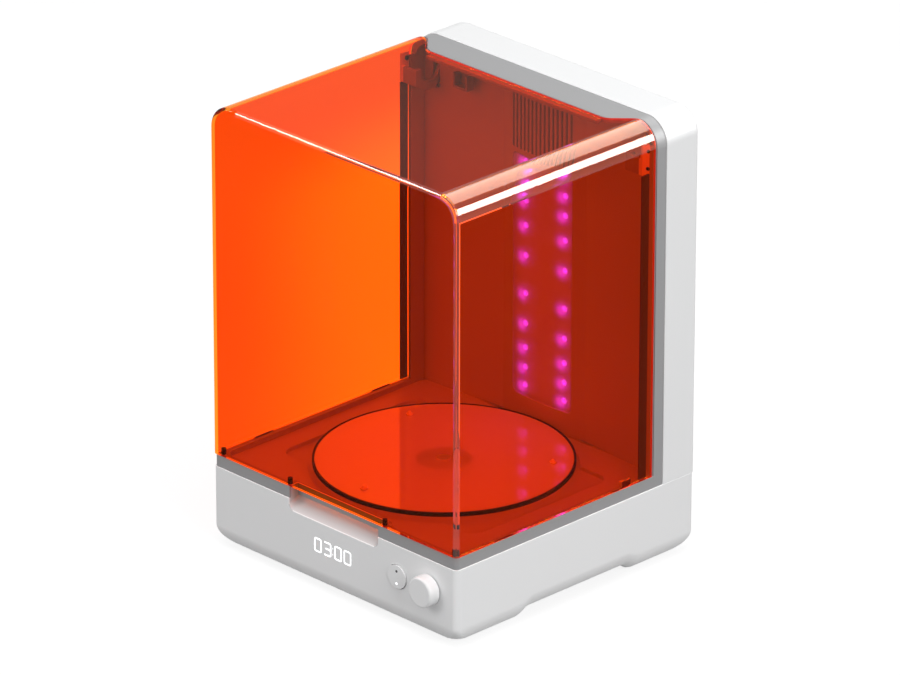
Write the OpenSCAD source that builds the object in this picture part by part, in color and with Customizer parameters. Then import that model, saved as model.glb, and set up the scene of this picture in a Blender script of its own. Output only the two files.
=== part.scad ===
// Benchtop light curing unit: a white base with controls, a lit and heated chamber with a
// turning glass table, and an amber hood that swings up and back on two goosenecked arms.
// X runs to the right, Y to the back, Z up. The origin is under the middle, where the feet stand.

/* [Body] */
// Width of the whole unit
body_w = 277; // [260:1:332]
// Depth of the body without the knob and the rear cover
body_d = 266.5; // [260:0.5:320]
// Height from the table to the top
body_h = 382.5; // [370:0.5:459]
// Height of the base shell's top edge
base_top = 70; // [70:0.5:78]
// Wall of the white housings
shell_wall = 3; // [2.5:0.1:3.4]
// Rounding of the base shell's lower edges
bottom_r = 18; // [12:0.5:22]
// Rounding of the base shell's upright corners
corner_r = 5; // [4:0.5:7]
// Rounding of the rear housing's top corners
top_r = 21.5; // [20:0.5:27]
// Depth of the white rear housing
upright_d = 36.1; // [34:0.1:44]
// How far the rear cover stands out
rear_bulge = 12.5; // [10:0.5:18]
// Height that the rubber feet lift the shell
foot_lift = 1; // [0.6:0.1:2]

/* [Chamber] */
// Height of the grey band under the hood
band_h = 10.3; // [9.5:0.1:12]
// Depth of the grey frame in front of the rear housing
rim_d = 12.5; // [12:0.1:16]
// How far the grey frame lies below the white skin
rim_recess = 0.8; // [0.4:0.1:1.2]
// Width of the grey frame's edge
rim_edge = 7; // [6.5:0.1:8]
// Wall of the floor pan and the back wall
liner_wall = 2.5; // [2:0.1:3]
// Depth of the floor below the top of the band
floor_drop = 4.3; // [3.5:0.1:5]
// Depth of the well under the turntable
well_drop = 3.5; // [3:0.1:4]
// Radius of the well
well_r = 108; // [107:0.5:110]
// Width of the finger recess in the front
scoop_w = 101; // [80:1:104]
// Depth of the finger recess
scoop_d = 10.3; // [9:0.1:10.6]
// Drop of the finger recess below the band
scoop_h = 9.5; // [8:0.1:11]

/* [Hood] */
// Thickness of the amber hood
hood_t = 3; // [2.5:0.1:3.2]
// Rounding of the hood's top corners
hood_r = 20; // [18:0.5:25]
// Rounding of the hood's front edges
hood_edge_r = 3.5; // [2.5:0.5:5]
// Gap between the hood's rear edge and the grey frame
hood_gap = 1.2; // [1.2:0.1:1.6]
// Gap under the hood's lower edge
hood_lift = 0.5; // [0.4:0.1:0.8]
// Depth of the notch in the hood's roof
notch_d = 18.4; // [12:0.1:20]
// Half width of the notch's straight edge
notch_half = 95; // [85:1:95]

/* [Turntable] */
// Radius of the table with its rim ring
table_r = 105; // [98:0.5:105.5]
// Thickness of the glass
glass_t = 3; // [2.5:0.1:4]
// Width of the black ring
ring_w = 1.6; // [1.2:0.1:2.4]
// Radius of the drive shaft
shaft_r = 4; // [3:0.1:5]
// Radius on which the pegs stand
peg_circle = 86.7; // [70:0.1:90]

/* [Lamps] */
// Half width of the lamp window
window_half = 33; // [30:0.5:36]
// Distance of each lamp row from the middle
lamp_x = 22; // [18:0.5:26]
// Number of slots in the air grille
slot_count = 15; // [9:1:15]

/* [Controls] */
// Distance of the start button from the middle
button_x = 73; // [66:0.5:78]
// Height of the start button
button_z = 43.5; // [38:0.5:46]
// Radius of the start button
button_r = 10; // [7:0.1:11]
// Distance of the knob from the middle
knob_x = 108.3; // [104:0.1:110]
// Height of the knob
knob_z = 45; // [38:0.5:47]
// Radius of the knob
knob_r = 12.8; // [9:0.1:14]
// How far the knob stands out
knob_out = 11; // [9:0.5:14]
// Height of a figure on the display
digit_h = 12.2; // [9:0.1:14]

/* [Hidden] */
$fn = 72;

// Running clearance of a shaft, slip of a panel in its seat, and air round a moving button
running = 0.05;
slip = 0.2;
button_air = 0.4;
// Overshoot of a cut past the face that it opens
cut = 1;

// Planes of the body
hw = body_w / 2;
front_y = -(knob_out + body_d + rear_bulge) / 2 + knob_out;
back_y = front_y + body_d;
rear_y = back_y + rear_bulge;
upright_y = back_y - upright_d;
hood_y = upright_y - rim_d;
rim_y = hood_y + hood_gap;
top_z = body_h;
inner_hw = hw - shell_wall;

// Levels of the chamber
band_z = base_top + band_h;
hood_z = band_z + hood_lift;
floor_z = band_z - floor_drop;
well_z = floor_z - well_drop;
ledge_w = 4;
rim_hw = hw - rim_recess;
rim_top = top_z - rim_recess;
rim_r = top_r - rim_recess;
liner_hw = rim_hw - rim_edge + rim_recess;
tray_hw = liner_hw - ledge_w - slip - liner_wall;
liner_top = top_z - hood_t - 3.5;
liner_r = 17;
band_inner_r = 10;
chamber_front = front_y + rim_edge;
rim_spigot = 2;
rim_skirt = 4;

// Finger recess: its slope, its corners and the block round it
scoop_half = scoop_w / 2;
scoop_corner = 6;
scoop_wall = 2.6;
lining_t = 1.2;
lining_y = 2.8;
block_half = scoop_half + 5.5;
block_back = front_y + scoop_d + scoop_wall;

// Back wall: a bowed column in the middle and two flat wings that lean forward
column_y = upright_y - 1.4;
column_half = 46;
column_bow = 5;
column_R = (column_half * column_half + column_bow * column_bow) / (2 * column_bow);
column_cy = column_y + column_R;
lamp_mid = 201.1;
lamp_offsets = [16.5, 42.7, 64.1, 81.2, 97];
window_h = 208;
window_t = 1.5;
window_corner = 4;
board_y = column_y + 6.5;
grille_z = 332.6;
grille_h = 46;
slot_pitch = 4.6;
slot_w = 2;
fan_size = 60;
heater_y = column_y + liner_wall + 2.4;
heater_d = 10;
fan_y = heater_y + heater_d + 0.1;
fan_d = 15;

// Hinge: the axis lies inside the rear housing, near its top
axis_y = upright_y + 9.6;
axis_z = top_z - 17;
arm_x = 117;
arm_t = 3.5;
hub_r = 7;
pin_r = 2.5;
neck_w = 7;
// Centre line of the gooseneck from the hub to the foot, in Y and Z from the axis
neck_pull = [[0, 0], [-5, -26], [-16, -32], [-31, -20.4]];
neck_steps = 12;
function neck_at(t) = pow(1 - t, 3) * neck_pull[0] + 3 * pow(1 - t, 2) * t * neck_pull[1]
    + 3 * (1 - t) * t * t * neck_pull[2] + pow(t, 3) * neck_pull[3];
neck = [for (i = [0:neck_steps]) neck_at(i / neck_steps)];
foot_y0 = -34.8;
foot_w = 8;
foot_z0 = -23;
foot_z1 = 1;
foot_t = 2.1;
foot_web = 3;
screw_y = axis_y + foot_y0 + foot_web + (foot_w - foot_web) / 2;
screw_zs = [-18.3, -3.7];

// Turntable
table_y = front_y + 122.7;
glass_top = band_z + 2.7;
glass_z = glass_top - glass_t;
glass_r = table_r - ring_w;
peg_angles = [-91, 39, 154];
hub_disc_r = 22;
motor_r = 18.5;
motor_h = 40;
bracket_z = well_z - liner_wall - 6;
bracket_t = 2.5;

// Front board and what stands on it
board_front = front_y + 12.5;
board_t = 1.6;
inner_front = front_y + shell_wall;

// Rear panel
cover_half = 112;
cover_z0 = 86;
cover_z1 = 356;
cover_wall = 2.5;
opening_half = 100;
inlet_x = -70;
inlet_z = 112;
switch_x = -32;
switch_z = 112;

// Plain shapes
module box(x0, x1, y0, y1, z0, z1) {
    translate([x0, y0, z0])
        cube([x1 - x0, y1 - y0, z1 - z0]);
}

module along_y(y0, y1) {
    translate([0, y1, 0])
        rotate([90, 0, 0])
            linear_extrude(y1 - y0)
                children();
}

module along_x(x0, x1) {
    translate([x0, 0, 0])
        rotate([90, 0, 90])
            linear_extrude(x1 - x0)
                children();
}

module rod_x(x0, x1, y, z, r) {
    translate([x0, y, z])
        rotate([0, 90, 0])
            cylinder(r = r, h = x1 - x0);
}

module rod_y(x, z, y0, y1, r) {
    translate([x, y1, z])
        rotate([90, 0, 0])
            cylinder(r = r, h = y1 - y0);
}

module rod_z(x, y, z0, z1, r) {
    translate([x, y, z0])
        cylinder(r = r, h = z1 - z0);
}

module pair() {
    children();
    mirror([1, 0, 0])
        children();
}

// Rounded rectangle from (x0, y0) to (x1, y1)
module rounded(x0, x1, y0, y1, r) {
    translate([x0 + r, y0])
        square([x1 - x0 - 2 * r, y1 - y0]);
    translate([x0, y0 + r])
        square([x1 - x0, y1 - y0 - 2 * r]);
    for (x = [x0 + r, x1 - r], y = [y0 + r, y1 - r])
        translate([x, y])
            circle(r);
}

// Doorway shape with round upper corners
module arch(half, z0, z1, r) {
    translate([-half, z0])
        square([2 * half, z1 - r - z0]);
    translate([r - half, z0])
        square([2 * (half - r), z1 - z0]);
    for (side = [-1, 1])
        translate([side * (half - r), z1 - r])
            circle(r);
}

// Tub shape with round lower corners
module tub(x0, x1, z0, z1, r) {
    translate([x0, z0 + r])
        square([x1 - x0, z1 - z0 - r]);
    translate([x0 + r, z0])
        square([x1 - x0 - 2 * r, z1 - z0]);
    for (x = [x0 + r, x1 - r])
        translate([x, z0 + r])
            circle(r);
}

// The base's outer form, drawn in by inset
module base_form(inset, z1) {
    z0 = foot_lift + inset;
    intersection() {
        along_y(front_y + inset, back_y - inset)
            tub(inset - hw, hw - inset, z0, z1, bottom_r - inset);
        along_x(inset - hw, hw - inset)
            tub(front_y + inset, back_y - inset, z0, z1, bottom_r - inset);
        translate([0, 0, z0])
            linear_extrude(z1 - z0)
                rounded(inset - hw, hw - inset, front_y + inset, back_y - inset,
                    max(corner_r - inset, 1.5));
    }
}

// The arch between the legs on both sides: its height, its ramps and its ends
arch_h = 4;
arch_ramp = 14;
arch_y0 = front_y + 72;
arch_y1 = back_y - 62;

module leg_arch() {
    along_x(-hw - cut, hw + cut)
        polygon([[arch_y0, foot_lift - cut], [arch_y0, foot_lift], [arch_y0 + arch_ramp, foot_lift + arch_h],
            [arch_y1 - arch_ramp, foot_lift + arch_h], [arch_y1, foot_lift], [arch_y1, foot_lift - cut]]);
}

// The finger recess: a slope that starts at the front and ends in an upright wall
module scoop() {
    intersection() {
        along_x(-scoop_half, scoop_half)
            polygon([[front_y - cut, base_top - scoop_h], [front_y, base_top - scoop_h],
                [front_y + scoop_d, base_top], [front_y + scoop_d, band_z + cut],
                [front_y - cut, band_z + cut]]);
        along_y(front_y - 2 * cut, front_y + scoop_d + cut)
            tub(-scoop_half, scoop_half, base_top - scoop_h, band_z + 2 * cut, scoop_corner);
    }
}

foot_r = 9;
foot_sink = 1.5;
foot_in_x = hw - 33.5;
foot_in_y = 29;
plate_half = 101;
plate_y0 = -46;
plate_y1 = 54;
plate_t = 1.5;
plate_rim = 6;
floor_top = foot_lift + 7;
plate_z = foot_lift + arch_h;
plate_screw_in = 6;
plate_screws = [for (x = [plate_screw_in - plate_half, plate_half - plate_screw_in],
    y = [plate_y0 + plate_screw_in, plate_y1 - plate_screw_in]) [x, y]];
feet = [for (x = [-foot_in_x, foot_in_x], y = [front_y + foot_in_y, back_y - foot_in_y]) [x, y]];
board_posts = [[-30, 30], [-30, 51], [52, 30], [124, 28.5]];
main_posts = [[50, 60], [50, 92], [120, -12], [120, 92]];

module base_shell() {
    color([0.88, 0.88, 0.88])
    difference() {
        union() {
            difference() {
                base_form(0, base_top);
                intersection() {
                    base_form(shell_wall, base_top + cut);
                    box(-hw, hw, front_y, back_y, floor_top, base_top + 2 * cut);
                }
            }
            box(-scoop_half - scoop_wall, scoop_half + scoop_wall,
                inner_front - cut, front_y + scoop_d + scoop_wall,
                base_top - scoop_h - scoop_wall - 2, base_top - rim_skirt - slip);
            // The recess's white lining, which rises through the band
            box(-scoop_half - lining_t, scoop_half + lining_t, front_y + lining_y,
                front_y + scoop_d + lining_t, base_top - rim_skirt - slip - cut, band_z);
            for (p = board_posts)
                rod_y(p[0], p[1], inner_front - cut, board_front, 3);
            for (p = main_posts)
                rod_z(p[0], p[1], floor_top - cut, floor_top + 6, 3.5);
        }
        scoop();
        leg_arch();
        for (p = feet)
            rod_z(p[0], p[1], 0, foot_lift + foot_sink, foot_r);
        box(plate_rim - plate_half, plate_half - plate_rim, plate_y0 + plate_rim, plate_y1 - plate_rim,
            0, floor_top + cut);
        box(-plate_half - slip, plate_half + slip, plate_y0 - slip, plate_y1 + slip, 0, plate_z + plate_t);
        for (p = plate_screws)
            rod_z(p[0], p[1], 0, floor_top + cut, 1.5);
        rod_y(button_x, button_z, front_y - cut, inner_front + cut, button_r + button_air);
        rod_y(knob_x, knob_z, front_y - cut, inner_front + cut, 5.5);
        digit_slots();
    }
}

module bottom_plate() {
    color([0.6, 0.6, 0.62])
    difference() {
        box(-plate_half, plate_half, plate_y0, plate_y1, plate_z, plate_z + plate_t);
        for (p = plate_screws)
            rod_z(p[0], p[1], 0, plate_z + plate_t + cut, 1.7);
        for (i = [-3:3])
            box(i * 12 - 1.5, i * 12 + 1.5, -30, 30, plate_z - cut, plate_z + plate_t + cut);
    }
}

module bottom_screws() {
    color([0.75, 0.75, 0.77])
    for (p = plate_screws) {
        rod_z(p[0], p[1], plate_z - 1.6, plate_z, 3);
        rod_z(p[0], p[1], plate_z, floor_top, 1.5);
    }
}

module rubber_feet() {
    color([0.1, 0.1, 0.1])
    for (p = feet)
        rod_z(p[0], p[1], 0, foot_lift + foot_sink, foot_r);
}

// The notch in the hood's roof, seen from above: an S at each end, moved back by shift
notch_R = 12;
notch_y = hood_y - notch_d;
notch_run = 2 * notch_R * sin(45) + notch_d - 2 * notch_R * (1 - cos(45));
function s_curve(shift) = concat(
    [for (a = [-90:5:-45]) [notch_half + notch_R * cos(a), notch_y + shift + notch_R + notch_R * sin(a)]],
    [for (a = [135:-5:90]) [notch_half + notch_run + notch_R * cos(a),
        hood_y + shift - notch_R + notch_R * sin(a)]]);

module notch_plan(shift) {
    right = s_curve(shift);
    last = notch_half + notch_run;
    pair()
        polygon(concat([[-cut, notch_y + shift]], right, [[last, hood_y + shift + 2 * cut],
            [last, upright_y], [-cut, upright_y]]));
}

// A ring of the grey frame between two planes, with its outer outline drawn in by inset
module rim_ring(y0, y1, z0, inset) {
    along_y(y0, y1)
        difference() {
            arch(rim_hw - inset, z0, rim_top - inset, rim_r - inset);
            arch(liner_hw, z0 - cut, liner_top, liner_r);
        }
}

lip_reach = 4;
lip_gap = 1.2;
shelf_t = 3;
step = 1;

// One layer of the shelf that fills the notch, under the frame's own outline drawn in by inset
module shelf(shift, inset) {
    intersection() {
        translate([0, 0, rim_top - shelf_t - 2])
            linear_extrude(shelf_t + 2)
                notch_plan(shift);
        difference() {
            along_y(notch_y, upright_y)
                arch(rim_hw - inset, band_z, rim_top - inset, rim_r - inset);
            box(-notch_half - cut, notch_half + cut, notch_y - cut, upright_y + cut,
                band_z, rim_top - shelf_t);
            along_y(notch_y - cut, upright_y + cut)
                arch(liner_hw, band_z - cut, liner_top, liner_r);
        }
    }
}

module chamber_rim() {
    color([0.55, 0.55, 0.55])
    difference() {
        union() {
            // The band under the hood, its skirt inside the base and its ledge under the floor pan
            translate([0, 0, base_top])
                linear_extrude(band_h)
                    difference() {
                        rounded(rim_recess - hw, hw - rim_recess, front_y + rim_recess, upright_y + 20,
                            corner_r - rim_recess);
                        rounded(-liner_hw, liner_hw, chamber_front, upright_y + 40, band_inner_r);
                        translate([-hw, upright_y])
                            square([body_w, 40]);
                    }
            translate([0, 0, base_top - rim_skirt])
                linear_extrude(floor_z - liner_wall - base_top + rim_skirt)
                    difference() {
                        rounded(slip - inner_hw, inner_hw - slip, inner_front + slip, upright_y + 20, 1.5);
                        rounded(ledge_w - liner_hw, liner_hw - ledge_w, chamber_front + ledge_w,
                            upright_y + 40, band_inner_r);
                        translate([-hw, upright_y])
                            square([body_w, 40]);
                    }
            // The block that the finger recess is cut into
            translate([0, 0, base_top - rim_skirt])
                linear_extrude(band_h + rim_skirt)
                    rounded(-block_half, block_half, chamber_front - 3, block_back, 3);
            // The frame in front of the rear housing, with a step at its front and a spigot behind
            rim_ring(rim_y, rim_y + step, band_z, step);
            rim_ring(rim_y + step, upright_y, band_z - cut, 0);
            along_y(upright_y, upright_y + rim_spigot)
                difference() {
                    arch(inner_hw - slip, base_top, top_z - shell_wall - slip, top_r - shell_wall - slip);
                    arch(liner_hw, base_top - cut, liner_top, liner_r);
                }
            // The shelf that fills the notch, and the lip under the hood's edge
            shelf(hood_gap, step);
            shelf(hood_gap + step, 0);
            translate([0, 0, liner_top])
                linear_extrude(rim_top - shelf_t - liner_top)
                    intersection() {
                        notch_plan(-lip_reach);
                        translate([-notch_half, notch_y - lip_reach])
                            square([2 * notch_half, notch_d + rim_d + lip_reach]);
                    }
            along_y(hood_y - lip_reach, rim_y + step)
                difference() {
                    arch(hw - hood_t - lip_gap, band_z - cut, axis_z - 2, 1);
                    arch(liner_hw, band_z - 2 * cut, axis_z + cut, 1);
                    translate([-liner_hw, band_z])
                        square([2 * liner_hw, top_z]);
                }
        }
        scoop();
        // Room for the recess's lining
        box(-scoop_half - lining_t - slip, scoop_half + lining_t + slip, front_y + lining_y - slip,
            front_y + scoop_d + lining_t + slip, base_top - rim_skirt - cut, band_z + cut);
    }
}

module well_plan(grow) {
    translate([0, table_y])
        circle(well_r + grow);
    rounded(-110 - grow, 110 + grow, table_y - 76 - grow, table_y + 76 + grow, 12 + grow);
}

module chamber_floor() {
    color([0.62, 0.62, 0.62])
    difference() {
        union() {
            translate([0, 0, floor_z - liner_wall])
                linear_extrude(liner_wall)
                    rounded(slip - liner_hw, liner_hw - slip, chamber_front + slip, upright_y + rim_spigot,
                        band_inner_r - slip);
            translate([0, 0, well_z - liner_wall])
                linear_extrude(well_drop + liner_wall)
                    intersection() {
                        well_plan(liner_wall);
                        rounded(ledge_w + slip - liner_hw, liner_hw - ledge_w - slip,
                            chamber_front + ledge_w + slip, upright_y - 1, band_inner_r);
                    }
            for (x = [-24, 24], y = [-24, 24])
                rod_z(x, table_y + y, bracket_z + bracket_t, well_z, 3.5);
        }
        translate([0, 0, well_z])
            linear_extrude(well_drop + cut)
                intersection() {
                    well_plan(0);
                    rounded(-tray_hw, tray_hw, chamber_front + ledge_w + slip + liner_wall,
                        upright_y - 1 - liner_wall, band_inner_r);
                }
        rod_z(0, table_y, bracket_z, well_z + cut, 6);
        box(-block_half - slip, block_half + slip, chamber_front - cut, block_back + slip,
            bracket_z, floor_z + cut);
    }
}

// The bowed column's plan, from front to depth behind its front skin
module wall_plan(front, depth) {
    intersection() {
        difference() {
            translate([0, column_cy])
                circle(column_R - front);
            translate([0, column_cy])
                circle(column_R - front - depth);
        }
        translate([-column_half, column_y - cut])
            square([2 * column_half, column_bow + depth + 2 * cut]);
    }
}

arc_steps = 12;
function bow_y(x) = column_cy - sqrt(column_R * column_R - x * x);

module wall_section() {
    xs = [for (i = [-arc_steps:arc_steps]) i * column_half / arc_steps];
    front = [for (x = xs) [x, bow_y(x)]];
    back = [for (x = xs) [-x, bow_y(x) + liner_wall]];
    edge = liner_hw - slip;
    polygon(concat([[-edge, column_y]], front, [[edge, column_y], [edge, column_y + liner_wall]], back,
        [[-edge, column_y + liner_wall]]));
}

module window_outline(grow) {
    rounded(-window_half - grow, window_half + grow, lamp_mid - window_h / 2 - grow,
        lamp_mid + window_h / 2 + grow, window_corner);
}

module chamber_back() {
    color([0.62, 0.62, 0.62])
    difference() {
        intersection() {
            translate([0, 0, floor_z])
                linear_extrude(liner_top - slip - floor_z)
                    wall_section();
            along_y(column_y - cut, upright_y + 20)
                arch(liner_hw - slip, floor_z, liner_top - slip, liner_r - slip);
        }
        along_y(column_y - cut, board_y)
            window_outline(slip);
        for (i = [0:slot_count - 1])
            translate([(i - (slot_count - 1) / 2) * slot_pitch, 0, 0])
                box(-slot_w / 2, slot_w / 2, column_y - cut, heater_y, grille_z - grille_h / 2,
                    grille_z + grille_h / 2);
        pair()
            box(arm_x - 2, arm_x + arm_t + 2, column_y - cut, upright_y + 20, axis_z - 30, liner_top + cut);
        rod_y(-82, 352, column_y - cut, upright_y + 10, 2);
    }
}

module rear_housing() {
    color([0.9, 0.9, 0.9])
    difference() {
        union() {
            difference() {
                intersection() {
                    along_y(upright_y, back_y)
                        arch(hw, base_top, top_z, top_r);
                    translate([0, 0, base_top])
                        linear_extrude(top_z - base_top)
                            rounded(-hw, hw, upright_y - 20, back_y, 3.5);
                    along_x(-hw, hw)
                        rounded(upright_y - 20, back_y, base_top - 20, top_z, 3.5);
                }
                along_y(upright_y - cut, back_y - shell_wall)
                    arch(inner_hw, base_top - cut, top_z - shell_wall, top_r - shell_wall);
            }
            for (x = bar_posts)
                rod_y(x, axis_z + bar_post_z, axis_y + 12, back_y - shell_wall + cut, 4);
            pair()
                for (z = [cover_z0 + 8, cover_z1 - 8])
                    rod_y(cover_half - 8, z, back_y - 12, back_y - shell_wall + cut, 4.5);
        }
        along_y(back_y - shell_wall - cut, back_y + cut)
            rounded(-opening_half, opening_half, cover_z0 + 14, cover_z1 - 14, 8);
        pair()
            for (z = [cover_z0 + 8, cover_z1 - 8])
                rod_y(cover_half - 8, z, back_y - 12 - cut, back_y + cut, 1.5);
    }
}

module rear_cover() {
    color([0.86, 0.86, 0.86])
    difference() {
        union() {
            difference() {
                along_y(back_y, rear_y)
                    rounded(-cover_half, cover_half, cover_z0, cover_z1, 12);
                along_y(back_y - cut, rear_y - cover_wall)
                    rounded(cover_wall - cover_half, cover_half - cover_wall, cover_z0 + cover_wall,
                        cover_z1 - cover_wall, 10);
            }
            pair()
                for (z = [cover_z0 + 8, cover_z1 - 8])
                    rod_y(cover_half - 8, z, back_y, rear_y, 5.5);
        }
        pair()
            for (z = [cover_z0 + 8, cover_z1 - 8]) {
                rod_y(cover_half - 8, z, back_y - cut, rear_y + cut, 1.7);
                rod_y(cover_half - 8, z, rear_y - 4, rear_y + cut, 3.5);
            }
        for (i = [-8:8])
            along_y(rear_y - cover_wall - cut, rear_y + cut)
                rounded(i * 9 - 1.75, i * 9 + 1.75, 280, 330, 1.7);
        box(inlet_x - 14 - slip, inlet_x + 14 + slip, back_y, rear_y + cut, inlet_z - 10.5 - slip,
            inlet_z + 10.5 + slip);
        box(switch_x - 7.5 - slip, switch_x + 7.5 + slip, back_y, rear_y + cut, switch_z - 11 - slip,
            switch_z + 11 + slip);
    }
}

module rear_cover_screws() {
    color([0.75, 0.75, 0.77])
    pair()
        for (z = [cover_z0 + 8, cover_z1 - 8]) {
            rod_y(cover_half - 8, z, rear_y - 4, rear_y - 1.5, 3);
            rod_y(cover_half - 8, z, back_y - 11, rear_y - 4, 1.5);
        }
}

// Lamps behind the bowed window
module lamp_window() {
    color([0.85, 0.75, 0.9])
    intersection() {
        translate([0, 0, lamp_mid - window_h])
            linear_extrude(2 * window_h)
                wall_plan(0.3, window_t);
        along_y(column_y - cut, board_y)
            window_outline(0);
    }
}

lamp_z = concat([for (h = lamp_offsets) lamp_mid + h], [for (h = lamp_offsets) lamp_mid - h]);
board_half = 38;
board_z0 = 97;
board_z1 = 301.6;
emitter_t = 1.5;

module lamp_board() {
    color([0.12, 0.2, 0.35])
    box(-board_half, board_half, board_y, board_y + board_t, board_z0, board_z1);
}

module lamp_emitters() {
    color([0.9, 0.3, 0.9])
    for (x = [-lamp_x, lamp_x], z = lamp_z)
        rod_y(x, z, board_y - emitter_t, board_y, 2.6);
}

module lamp_heat_sink() {
    color([0.75, 0.76, 0.78])
    difference() {
        box(-36, 36, board_y + board_t, board_y + board_t + 15, 99, 300);
        for (i = [-4:4])
            box(i * 8 - 2.5, i * 8 + 2.5, board_y + board_t + 3, board_y + board_t + 15 + cut, 98, 301);
    }
}

module air_heater() {
    color([0.5, 0.5, 0.52])
    difference() {
        box(-fan_size / 2, fan_size / 2, heater_y, heater_y + heater_d, grille_z - fan_size / 2,
            grille_z + fan_size / 2);
        for (i = [-6:6])
            box(i * 4 - 1.4, i * 4 + 1.4, heater_y - cut, heater_y + heater_d + cut,
                grille_z - 24, grille_z + 24);
    }
}

module fan_frame() {
    color([0.1, 0.1, 0.1])
    difference() {
        union() {
            difference() {
                box(-fan_size / 2, fan_size / 2, fan_y, fan_y + fan_d, grille_z - fan_size / 2,
                    grille_z + fan_size / 2);
                rod_y(0, grille_z, fan_y - cut, fan_y + fan_d + cut, 28.5);
            }
            rod_y(0, grille_z, fan_y + fan_d - 3, fan_y + fan_d, 11);
            box(-29.5, 29.5, fan_y + fan_d - 2.5, fan_y + fan_d, grille_z - 2, grille_z + 2);
            box(-2, 2, fan_y + fan_d - 2.5, fan_y + fan_d, grille_z - 29.5, grille_z + 29.5);
            rod_y(0, grille_z, fan_y + 4, fan_y + fan_d - 1, 4);
        }
        rod_y(0, grille_z, fan_y + 3, fan_y + fan_d - 2, 1.5 + running);
        for (x = [-25, 25], z = [-25, 25])
            rod_y(x, grille_z + z, fan_y - cut, fan_y + fan_d + cut, 2.1);
    }
}

module fan_rotor() {
    color([0.15, 0.15, 0.15])
    translate([0, 0, grille_z]) {
        difference() {
            rod_y(0, 0, fan_y + 1, fan_y + fan_d - 4, 12);
            rod_y(0, 0, fan_y + 3, fan_y + fan_d - 3, 10);
        }
        rod_y(0, 0, fan_y + 2, fan_y + fan_d - 2.5, 1.5);
        for (k = [0:6])
            rotate([0, k * 360 / 7, 0])
                translate([19, (fan_y + 1.5 + fan_y + fan_d - 4.5) / 2, 0])
                    rotate([35, 0, 0])
                        cube([16, 1.4, 11], center = true);
    }
}

module temperature_sensor() {
    color([0.2, 0.2, 0.2])
    translate([-82, 0, 352]) {
        rod_y(0, 0, column_y - 0.6, upright_y + 5, 2 - slip);
        box(-8, 8, column_y - 2.2, column_y - 0.6, -5.5, 7);
        box(-8, -6, column_y - 9, column_y - 2.2, -5.5, 7);
        box(6, 8, column_y - 9, column_y - 2.2, -5.5, 7);
        box(-8, 8, column_y - 9, column_y - 2.2, -5.5, -3.5);
    }
}

// Hinge of the hood
cheek_t = 4.2;
cheek_gap = 0.3;
hub_in = 1;
hub_out = 1;
block_x0 = arm_x - hub_in - cheek_gap - cheek_t;
block_x1 = arm_x + arm_t + hub_out + cheek_gap + cheek_t;

bar_posts = [-100, -50, 50, 100];
bar_post_z = 3.5;

module hinge_crossbar() {
    color([0.7, 0.7, 0.72])
    difference() {
        box(-block_x1, block_x1, axis_y + 10, axis_y + 12, axis_z - 2, axis_z + 8);
        for (x = bar_posts)
            rod_y(x, axis_z + bar_post_z, axis_y + 10 - cut, axis_y + 12 + cut, 1.7);
    }
}

module hinge_block() {
    difference() {
        union() {
            box(block_x0, block_x1, axis_y + hub_r + 0.4, axis_y + 10, axis_z - 11, axis_z + 7);
            for (x = [block_x0, block_x1 - cheek_t]) {
                rod_x(x, x + cheek_t, axis_y, axis_z, hub_r - 0.5);
                box(x, x + cheek_t, axis_y, axis_y + hub_r + 1, axis_z - 11, axis_z + hub_r - 0.5);
            }
        }
        rod_x(block_x0 - cut, block_x1 + cut, axis_y, axis_z, pin_r);
    }
}

module hinge_block_left() {
    color([0.65, 0.65, 0.67])
    mirror([1, 0, 0])
        hinge_block();
}

module hinge_block_right() {
    color([0.65, 0.65, 0.67])
    hinge_block();
}

module hinge_pins() {
    color([0.8, 0.8, 0.82])
    pair()
        rod_x(block_x0, block_x1, axis_y, axis_z, pin_r);
}

function neck_way(i) = neck[min(i + 1, neck_steps)] - neck[max(i - 1, 0)];
function neck_side(i, side) = let (d = neck_way(i) / norm(neck_way(i)))
    neck[i] + side * neck_w / 2 * [-d[1], d[0]];

module gooseneck() {
    polygon(concat(
        [for (i = [0:neck_steps]) neck_side(i, 1)],
        [for (i = [neck_steps:-1:0]) neck_side(i, -1)]));
}

module hinge_arm() {
    difference() {
        union() {
            translate([0, axis_y, axis_z])
                along_x(arm_x, arm_x + arm_t)
                    gooseneck();
            rod_x(arm_x - hub_in, arm_x + arm_t + hub_out, axis_y, axis_z, hub_r);
            intersection() {
                translate([0, axis_y, axis_z])
                    union() {
                        box(arm_x, hw, foot_y0, foot_y0 + foot_web, foot_z0, -9.5);
                        box(arm_x, arm_x + arm_t, foot_y0, foot_y0 + foot_w - 1.5, foot_z0, -9.5);
                        box(hw - hood_t - slip - foot_t, hw, foot_y0, foot_y0 + foot_w, foot_z0, foot_z1);
                    }
                along_y(hood_y - 60, hood_y)
                    arch(hw - hood_t - slip, hood_z, top_z - hood_t - slip, hood_r - hood_t - slip);
            }
        }
        rod_x(arm_x - 2 * hub_in, arm_x + arm_t + 2 * hub_out, axis_y, axis_z, pin_r + running);
        for (z = screw_zs)
            rod_x(arm_x + 2 * arm_t, hw, screw_y, axis_z + z, 1.3);
    }
}

module hinge_arm_left() {
    color([0.3, 0.3, 0.3])
    mirror([1, 0, 0])
        hinge_arm();
}

module hinge_arm_right() {
    color([0.3, 0.3, 0.3])
    hinge_arm();
}

module hinge_screws() {
    color([0.15, 0.15, 0.15])
    pair()
        for (z = screw_zs) {
            rod_x(hw - hood_t - slip - foot_t - 1, hw - hood_t - slip - foot_t, screw_y, axis_z + z, 2.2);
            rod_x(hw - hood_t - slip - foot_t, hw - 1, screw_y, axis_z + z, 1.3);
        }
}

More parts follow.
